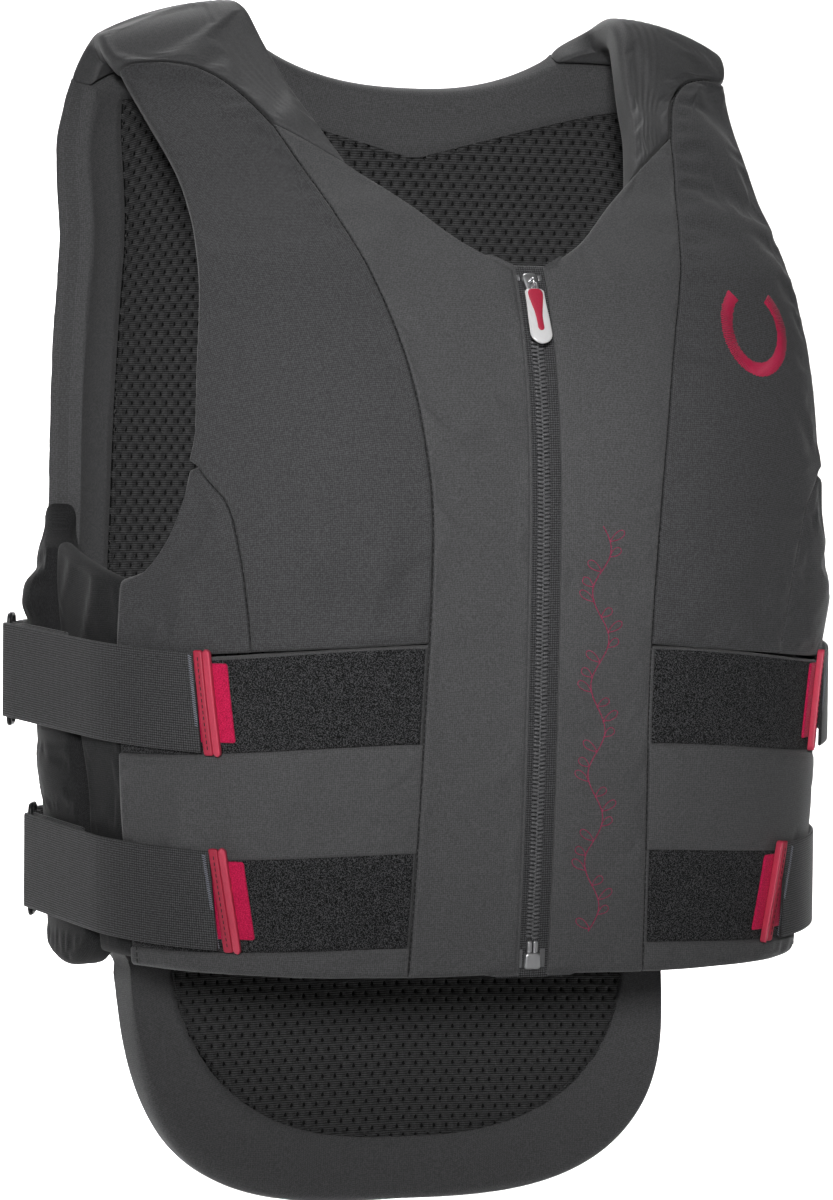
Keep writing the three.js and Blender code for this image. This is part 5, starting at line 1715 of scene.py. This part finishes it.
    def stitches(self, scale: float) -> None:
        """Pale overlock at the strap's cut end, and a dark row along the grip's lower face."""
        z = np.linspace(-0.48, 0.48, 60) * self.width + self.level
        rows = ((self.end + 1.1 * scale, self.under + self.thickness + 0.3, PALE_THREAD, "overlock",
                 2.0, 1.1, 62, 0.26),
                (self.end - 2.9 * scale, self.under + self.face_thickness, THREAD, "grip_seam",
                 1.9, 3.0, 0, 0.24))
        for angle, lift, finish, label, length, pitch, slant, radius in rows:
            at = self.side.value * self.sheared(angle, z - self.level)
            height = lift + (self.stand(at[:1], z[30:31]) if label == "overlock" else 0)
            path = FORM.on_front(at, z, height + 0 * z)
            out = FORM.on_front(at, z, 1.0 + 0 * z) - FORM.on_front(at, z)
            net = sewn(path, out, length=length, pitch=pitch, radius=radius, slant=slant)
            dress(f"{label}_{self.name}", net, finish)


# Front zip.


@dataclass
class FrontZip:
    """Zip down the middle: tapes, coil, slider with its puller, stops and the box at its foot."""

    edge: float = 8
    lap: float = 10
    tape_seat: float = 4.2
    pitch: float = 2.1
    coil_half: float = 3.2
    foot: float = 506

    @property
    def seat(self) -> float:
        """Depth of the metal's seat on the tape."""
        return -self.tape_seat + 0.5

    @property
    def top(self) -> float:
        """Drop of the slider's top."""
        return float(FORM.centre_top(np.array(0.0))) + 2.6

    def frame_at(self, drop: Array, lift: float) -> tuple[Array, Array, Array]:
        """Places on the middle line with directions up the zip and out of it."""
        x = 0 * np.asarray(drop, float)
        surface: Surface = lambda u, v: FORM.by_width(u, v, Face.FRONT)
        out = FORM.normals(surface, x, drop)
        up = np.cross(out, np.broadcast_to([1.0, 0, 0], out.shape))
        return surface(x, drop) + out * lift, up, out

    def solid(self, net: Net, drop: float, lift: float) -> Net:
        """A net drawn with X across, Y up the zip and Z out of it, set on the middle line."""
        place, up, out = self.frame_at(np.array([drop]), lift)
        return facing_out(Net(place + net.points[:, :1] * [[1.0, 0, 0]] + net.points[:, 1:2] * up
                              + net.points[:, 2:] * out, net.faces, net.flat))

    def tapes(self) -> None:
        """Two woven tapes that meet under the coil."""
        for side in Side:
            across, drop = np.meshgrid(np.linspace(0.1, self.edge + self.lap, 26),
                                       np.linspace(self.top - 6, self.foot + 5, 240))
            surface: Surface = lambda u, v: FORM.by_width(u, v, Face.FRONT)
            x = side.value * across
            out = FORM.normals(surface, x, drop)
            base = surface(x, drop) + out * (-self.tape_seat - 0.15 * hump(across, 4.2, 0.5))[..., None]
            net = closed(base, base - out * 0.9, flat_of(base))
            dress(f"zip_tape_{side.label}_weave", net, ELASTIC, replaces=(f"zip_tape_{side.label}",))

    def coil(self) -> None:
        """Two rows of slanting coil turns whose heads meet on the middle line."""
        turns = []
        chain_top, chain_foot = self.top + 12.5, self.foot - 15
        for side in Side:
            drop = np.arange(chain_top + self.pitch / 2 * (side is Side.LEFT), chain_foot, self.pitch)
            place, up, out = self.frame_at(drop, self.seat + 0.75)
            x_way = np.broadcast_to([float(side.value), 0, 0], place.shape)
            body = place + x_way * (self.coil_half / 2 + 0.15)
            along = unit(x_way + up * 0.12)
            turns.append(copies(capsule(self.coil_half, 0.72, 8), body, along, np.cross(out, along), out))
            head = place + x_way * 0.25
            turns.append(copies(capsule(1.3, 0.85, 8), head, up, np.cross(out, up), out * 1.15))
        dress("zip_coil", joined([facing_out(t) for t in turns]), COIL, replaces=("zip_chain",))

    def slider(self) -> None:
        """Slider body with shoulders and a bail over the puller's wire."""
        drop = self.top + 6
        y = np.linspace(-6, 6, 25)
        half = np.interp(y, [-6, -3, 0, 3.5, 6], [2.9, 3.4, 3.9, 4.5, 4.2])
        rim = np.linspace(0, 2 * math.pi, 28, endpoint=False)
        squircle = np.stack([np.sign(np.cos(rim)) * np.abs(np.cos(rim)) ** 0.5,
                             np.sign(np.sin(rim)) * np.abs(np.sin(rim)) ** 0.7], -1)
        ends = 1 - 0.25 * (np.abs(y) / 6) ** 6
        section = squircle[None] * np.stack([half * ends, 1.9 * ends], -1)[:, None]
        path = np.stack([0 * y, y, 0 * y + 2.0], -1)
        body = swept(path, np.tile([1.0, 0, 0], (25, 1)), np.tile([0, 0, 1.0], (25, 1)), section)
        turn = np.linspace(0, math.pi, 17)
        arch = np.stack([0 * turn, 1.9 * np.cos(turn), 4 + 1.5 + 1.9 * np.sin(turn)], -1)
        legs = np.array([[0, 1.9, 3.6], [0, 1.9, 4.6]]), np.array([[0, -1.9, 4.6], [0, -1.9, 3.6]])
        bail_path = np.concatenate([legs[0], arch, legs[1]])
        ahead = tangents(bail_path)
        bail = swept(bail_path, np.tile([1.0, 0, 0], (len(bail_path), 1)), np.cross(ahead, [1.0, 0, 0]),
                     circle(0.6, 10) * [1.65, 1])
        net = joined([facing_out(body), facing_out(bail)])
        dress("zip_slider_metal", self.solid(net, drop, self.seat), NICKEL, replaces=("zip_slider",))

    def build(self) -> None:
        """Makes the zip's pieces."""
        self.tapes()
        self.coil()
        self.slider()
        self.puller()
        self.ends()

    def puller(self) -> None:
        """Wire link through the bail, clear teardrop rim and its red core."""
        drop = self.top + 6
        lift = self.seat + 4 + 1.5
        inside, reach, wire = 2.8, 6.5, 1.2
        turn = np.radians(np.concatenate([s + np.linspace(0, 90, 5) for s in (0, 90, 180, 270)]))
        corner = np.repeat([[1, 1], [-1, 1], [-1, -1], [1, -1]], 5, axis=0)
        path = np.stack([corner[:, 0] * ((inside + wire) / 2 - 1) + np.cos(turn),
                         corner[:, 1] * (reach / 2 - 1) + np.sin(turn) - reach / 2, 0 * turn], -1)
        up = np.tile([0, 0, 1.0], (len(path), 1))
        link = swept(path, np.cross(tangents(path, loop=True), up), up, circle(wire / 2, 10), loop=True)
        dress("pull_link_wire", self.solid(link, drop, lift), NICKEL, body=PULL, replaces=("pull_link",))
        rim = self.teardrop(5.3, 6.0, 4.2, 35.1, 2.4)
        window = self.teardrop(4.4, 2.1, 4.6, 28.6, 3.1)
        core = self.solid(window, drop, lift)
        dress("pull_core_red", core, GRIP_FACE, body=PULL, replaces=("pull_core",))
        dress("pull_rim_clear", self.solid(rim, drop, lift), CLEAR, body=PULL, replaces=("pull_rim",))

    @staticmethod
    def teardrop(top_half: float, foot_half: float, start: float, stop: float, thickness: float) -> Net:
        """A flat drop shape hanging down Y: squared above and round below, with rounded edges.

        Args:
            top_half: Half width at its top.
            foot_half: Half width at its foot.
            start: How far below the bail it begins, mm.
            stop: How far below the bail it ends, mm.
            thickness: Its thickness, mm.

        Returns:
            The net.
        """
        down = 0.5 - np.cos(np.linspace(0.0, math.pi, 40)) / 2
        y = -lerp(start, stop, down)
        half = lerp(top_half, foot_half, rise(down, 0.1, 0.75))
        round_foot = np.clip((y + stop) / foot_half, 0, 1)
        half = half * np.sqrt(np.maximum(1 - (1 - round_foot) ** 2, 0.004))
        half = half * (1 - 0.35 * np.clip(1 - (-y - start) / 2, 0, 1) ** 3)
        turn = np.linspace(0, 2 * math.pi, 24, endpoint=False)
        shape = np.stack([np.sign(np.cos(turn)) * np.abs(np.cos(turn)) ** 0.6,
                          np.sign(np.sin(turn)) * np.abs(np.sin(turn)) ** 0.8], -1)
        tall = thickness / 2 * (0.35 + 0.65 * np.clip(half / foot_half, 0, 1))
        section = shape[None] * np.stack([half, tall], -1)[:, None]
        path = np.stack([0 * y, y, 0 * y], -1)
        return swept(path, np.tile([1.0, 0, 0], (len(y), 1)), np.tile([0, 0, 1.0], (len(y), 1)), section)

    def block(self, width: float, low: float, high: float, thick: tuple[float, float], x: float = 0,
              flare: float = 0.0) -> Net:
        """A rounded block up the zip, from low to high, whose foot may flare."""
        t = 0.5 - np.cos(np.linspace(0, math.pi, 14)) / 2
        y = lerp(low, high, t)
        turn = np.linspace(0, 2 * math.pi, 24, endpoint=False)
        shape = np.stack([np.sign(np.cos(turn)) * np.abs(np.cos(turn)) ** 0.35,
                          np.sign(np.sin(turn)) * np.abs(np.sin(turn)) ** 0.35], -1)
        ends = 1 - 0.3 * np.abs(2 * t - 1) ** 10
        half = (width / 2 + flare * (1 - t) ** 3) * ends
        tall = (thick[1] - thick[0]) / 2 * ends
        section = shape[None] * np.stack([half, tall], -1)[:, None]
        path = np.stack([x + 0 * y, y, 0 * y + sum(thick) / 2], -1)
        return swept(path, np.tile([1.0, 0, 0], (len(y), 1)), np.tile([0, 0, 1.0], (len(y), 1)), section)

    def ends(self) -> None:
        """Top stops, the retainer box with its two pins, and the clear films beside it."""
        pins = [self.block(2.5, 8.0, 14.5, (0.2, 2.5), x) for x in (-1.6, 1.6)]
        box = joined([self.block(8.6, 0, 8.4, (0, 3.9), flare=0.35), *pins])
        dress("zip_box_metal", self.solid(box, self.foot, self.seat), NICKEL, replaces=("zip_box",))
        for side in Side:
            x = side.value * 6.3
            film = self.block(3.1, 0.3, 10, (0.05, 0.5), x)
            name = f"zip_film_{side.label}"
            dress(f"{name}_clear", self.solid(film, self.foot, self.seat), FILM, replaces=(name,))
            stop = self.block(2.4, 3, 6, (0.1, 1.5), side.value * 6.2)
            name = f"zip_stop_{side.label}"
            dress(f"{name}_metal", self.solid(stop, self.top + 6, self.seat), NICKEL, replaces=(name,))


# Stitches and embroidery on the front.


def laid_on(points: Array, cover: str, lift: float) -> Array:
    """Points in mm moved to the nearest place on a built cover, and out of it by a lift."""
    mesh = bpy.data.meshes.new("trail")
    mesh.from_pydata((points * MM).tolist(), [], [])
    trail = bpy.data.objects.new("trail", mesh)
    bpy.context.scene.collection.objects.link(trail)
    wrap = trail.modifiers.new("wrap", "SHRINKWRAP")
    wrap.target = bpy.data.objects[cover]
    wrap.wrap_mode = "ABOVE_SURFACE"
    wrap.offset = lift * MM
    laid = trail.evaluated_get(bpy.context.evaluated_depsgraph_get()).to_mesh()
    ends = np.empty(points.size, np.float32)
    laid.vertices.foreach_get("co", ends)
    bpy.data.objects.remove(trail)
    bpy.data.meshes.remove(mesh)
    return ends.reshape(points.shape) / MM


def front_path(x: Array, drop: Array, lift: float) -> tuple[Array, Array]:
    """Points on the front by half width and drop, out by a lift, with their normals."""
    surface: Surface = lambda u, v: FORM.by_width(u, v, Face.FRONT)
    normals = FORM.normals(surface, x, drop)
    return surface(x, drop) + normals * lift, normals


@dataclass
class Seams:
    """Rows of stitches in the seams between the pads."""

    side: Side
    sunk: float = 1.0

    def build(self) -> None:
        """Princess seam, yoke seam, underarm seam and the waist's side edge."""
        sign = self.side.value
        rows = []
        drop = np.linspace(0.139, 0.99, 300) * FORM.length
        seam = sign * FORM.edge(PRINCESS_SEAM, drop, sign)
        rows.append(sewn(*front_path(seam, drop, -self.sunk), radius=0.35))
        drop = np.linspace(0.048, 0.137, 120) * FORM.length
        rows.append(sewn(*front_path(sign * FORM.edge(YOKE_EDGE, drop, sign), drop, -self.sunk), radius=0.35))
        drop = np.linspace(0.49, 0.655, 100) * FORM.length
        seam = sign * FORM.edge(UNDERARM_SEAM, drop, sign)
        rows.append(sewn(*front_path(seam, drop, -self.sunk), radius=0.35))
        drop = np.linspace(FORM.upper_band + 54, FORM.hem - 4, 120)
        angle = sign * (FORM.side_edge - 1.6) + 0 * drop
        normals = FORM.normals(FORM.by_angle, angle, drop)
        rows.append(sewn(FORM.by_angle(angle, drop) - normals * 0.4, normals, radius=0.3))
        dress(f"seam_stitches_{self.side.label}", joined(rows), THREAD)


@dataclass
class Horseshoe:
    """A small embroidered horseshoe in satin stitch on the wearer's left chest.

    Attributes:
        x: Its middle, mm.
        drop: Its middle below the shoulders, mm.
        radius: Of the shoe's middle line, mm.
        band: Width of the satin stitches, mm.
    """

    x: float = 126
    drop: float = 176
    radius: float = 18.5
    band: float = 7.4

    def build(self) -> bpy.types.Object:
        """Threads laid across a U that opens upwards."""
        count = 110
        turn = np.linspace(math.radians(-232), math.radians(52), count)
        stretch = 1.16
        x = self.x + self.radius * np.cos(turn)
        drop = self.drop - self.radius * stretch * np.sin(turn)
        path, normals = front_path(x, drop, 0.0)
        ahead = tangents(path)
        side = unit(np.cross(normals, ahead))
        jitter = np.random.default_rng(5).uniform(0.92, 1.08, count)
        path = laid_on(path, "chest_pad_left_cover", 0.15)
        net = copies(capsule(self.band, 0.42, 6), path, side * jitter[:, None], ahead, normals)
        return dress("horseshoe_embroidery", facing_out(net), RED_THREAD)


@dataclass
class Vine:
    """A thin embroidered vine beside the zip on the wearer's left: a waving stem with leaves."""

    x: float = 30
    top: float = 278
    foot: float = 486
    swing: float = 4.5
    wave: float = 46

    def build(self) -> bpy.types.Object:
        """A stem of short stitches, and pairs of leaf outlines on the outside of each bend."""
        drop = np.linspace(self.top, self.foot, 500)
        phase = 2 * math.pi * (drop - self.top) / self.wave
        x = self.x + self.swing * np.sin(phase)
        rows = [self.row(x, drop, 2.0, 0.32)]
        turn = np.linspace(0, 2 * math.pi, 40)
        for n, bend in enumerate(np.arange(self.top + self.wave / 6, self.foot, self.wave / 6)):
            out = (1, 1, -1, -1, -1, 1)[n % 6]
            reach, width = 9 - 2 * (n % 2), 2.4
            along, across = reach / 2 * (1 - np.cos(turn)), width * np.sin(turn) * np.sin(turn / 2)
            lean = math.radians(35)
            start = self.x + self.swing * math.sin(2 * math.pi * (bend - self.top) / self.wave)
            leaf_x = start + out * (along * math.cos(lean) + across * math.sin(lean))
            leaf_drop = bend - along * math.sin(lean) + across * math.cos(lean)
            rows.append(self.row(leaf_x, leaf_drop, 1.5, 0.27))
        return dress("vine_embroidery", joined(rows), WINE_THREAD)

    @staticmethod
    def row(x: Array, drop: Array, length: float, radius: float) -> Net:
        """Short stitches along a line on the cover."""
        path, normals = front_path(x, drop, 0.1)
        path = laid_on(path, "centre_pad_left_cover", 0.1)
        return sewn(path, normals, length=length, pitch=1.05 * length, radius=radius)


# Studio.


@dataclass
class Studio:
    """A pale floor and sweep, soft light and the camera at the photograph's angle."""

    floor: float = -0.70
    distance: float = 2.0
    azimuth: float = 20
    elevation: float = 2.5
    roll: float = 0.5
    shift: float = 28
    lens: float = 112.2
    target: tuple[float, float, float] = (0, -60, -298)

    def build(self) -> None:
        """Adds the sweep, the lights and the camera."""
        self.sweep()
        self.lights()
        self.camera()
        view = bpy.context.scene.view_settings
        view.view_transform = "Standard"

    def sweep(self) -> None:
        """A floor that curves up behind into a backdrop."""
        turn = np.linspace(0, math.pi / 2, 16)
        radius, far, near, top = 1.5, 3.0, -6.0, 5.0
        y = np.concatenate([[near], far - radius + radius * np.sin(turn), [far]])
        z = np.concatenate([[0], radius - radius * np.cos(turn), [top]]) + self.floor
        x = np.array([-7.0, 7.0])
        points = np.stack(np.broadcast_arrays(x[None], y[:, None], z[:, None]), -1) / MM
        net = Net(points.reshape(-1, 3), [quads(len(y), 2)])
        paper = Solid("pale_paper", "softshell", ("f4f4f4", "f8f8f8"), roughness=0.9)
        sweep = dress("studio_sweep", net, paper)
        self.clear_from_behind(paper.material())

    @staticmethod
    def clear_from_behind(paper: bpy.types.Material) -> None:
        """Makes the paper's back face clear, so that the vest also shows from behind the backdrop."""
        tree = paper.node_tree
        surface = next(node for node in tree.nodes if node.type == "OUTPUT_MATERIAL").inputs["Surface"]
        face = add(tree, "ShaderNodeNewGeometry")
        clear = add(tree, "ShaderNodeBsdfTransparent")
        mix = add(tree, "ShaderNodeMixShader", links={
            "Fac": face.outputs["Backfacing"], 1: surface.links[0].from_socket, 2: clear.outputs[0]})
        tree.links.new(mix.outputs[0], surface)

    def lights(self) -> None:
        """A dim white sky, a gridded frontal key with a fill, and a lamp that keeps the backdrop white."""
        world = bpy.data.worlds.new("studio")
        bpy.context.scene.world = world
        world.use_nodes = True
        world.node_tree.nodes["Background"].inputs["Color"].default_value = (1, 1, 1, 1)
        world.node_tree.nodes["Background"].inputs["Strength"].default_value = 0.075
        for name, place, aim, size, spread, power in (
            ("key", (-0.95, -2.4, 0.3), (-0.06, -0.15, -0.2), 0.6, 17, 1.2),
            ("fill", (-0.1, -2.6, 0.1), (0, -0.1, -0.3), 1.5, 120, 0.65),
            ("backdrop", (0, 1.8, 2.3), (0, 3.0, -0.1), 2.5, 110, 120),
            ("floor", (0, 1.4, 2.2), (0, 1.1, -0.7), 1.2, 52, 22),
        ):
            data = bpy.data.lights.new(name, "AREA")
            data.size, data.energy, data.spread = size, power, math.radians(spread)
            lamp = bpy.data.objects.new(name, data)
            bpy.context.scene.collection.objects.link(lamp)
            back = Matrix.Translation(place).translation - Matrix.Translation(aim).translation
            lamp.matrix_world = Matrix.Translation(place) @ back.to_track_quat("Z", "Y").to_matrix().to_4x4()

    def camera(self) -> None:
        """The camera: along the view from the target, moved sideways and rolled as the photograph is."""
        a, e, r = (math.radians(v) for v in (self.azimuth, self.elevation, self.roll))
        ahead = np.array([math.sin(a) * math.cos(e), math.cos(a) * math.cos(e), -math.sin(e)])
        right = np.array([math.cos(a), -math.sin(a), 0])
        up = np.cross(right, ahead)
        place = np.array(self.target) * MM - self.shift * MM * right - self.distance * ahead
        right_cam = right * math.cos(r) + up * math.sin(r)
        up_cam = up * math.cos(r) - right * math.sin(r)
        data = bpy.data.cameras.new("camera")
        data.lens, data.sensor_width = self.lens, 36
        camera = bpy.data.objects.new("camera", data)
        turned = np.stack([right_cam, up_cam, -ahead], 1).tolist()
        camera.matrix_world = Matrix([[*row, p] for row, p in zip(turned, place)] + [[0, 0, 0, 1]])
        bpy.context.scene.collection.objects.link(camera)
        bpy.context.scene.camera = camera


def main() -> None:
    """Builds the vest's pieces in order, and then the studio."""
    logging.basicConfig(level=logging.INFO, format="%(name)s: %(message)s")
    BackPad().build()
    Lining().build()
    for side in Side:
        for pad in (CentrePad, ChestPad, UnderarmPad, WaistPad, Yoke, FrontWing, BackWing):
            pad(side=side).build()
        for label, top in (("upper", FORM.upper_band), ("lower", FORM.lower_band)):
            LoopBand(side, top, label).build()
        Seams(side).build()
    ends = {"upper": {Side.RIGHT: 50.5, Side.LEFT: 55}, "lower": {Side.RIGHT: 49, Side.LEFT: 46}}
    for side in Side:
        for label, top, below, to_ring, ring_y, stand_off in (
            ("upper", FORM.upper_band, 4, 9, 8, 18), ("lower", FORM.lower_band, 0, 8, 2, 13.5),
        ):
            middle = np.array(top + FORM.band_height / 2)
            level = float(FORM.height(side.value * 0.4 * FORM.width, middle)) - below
            WaistStrap(side, label, level, level + to_ring, ring_y, stand_off, ends[label][side]).build()
    FrontZip().build()
    Horseshoe().build()
    Vine().build()
    Studio().build()


if __name__ == "__main__":
    main()
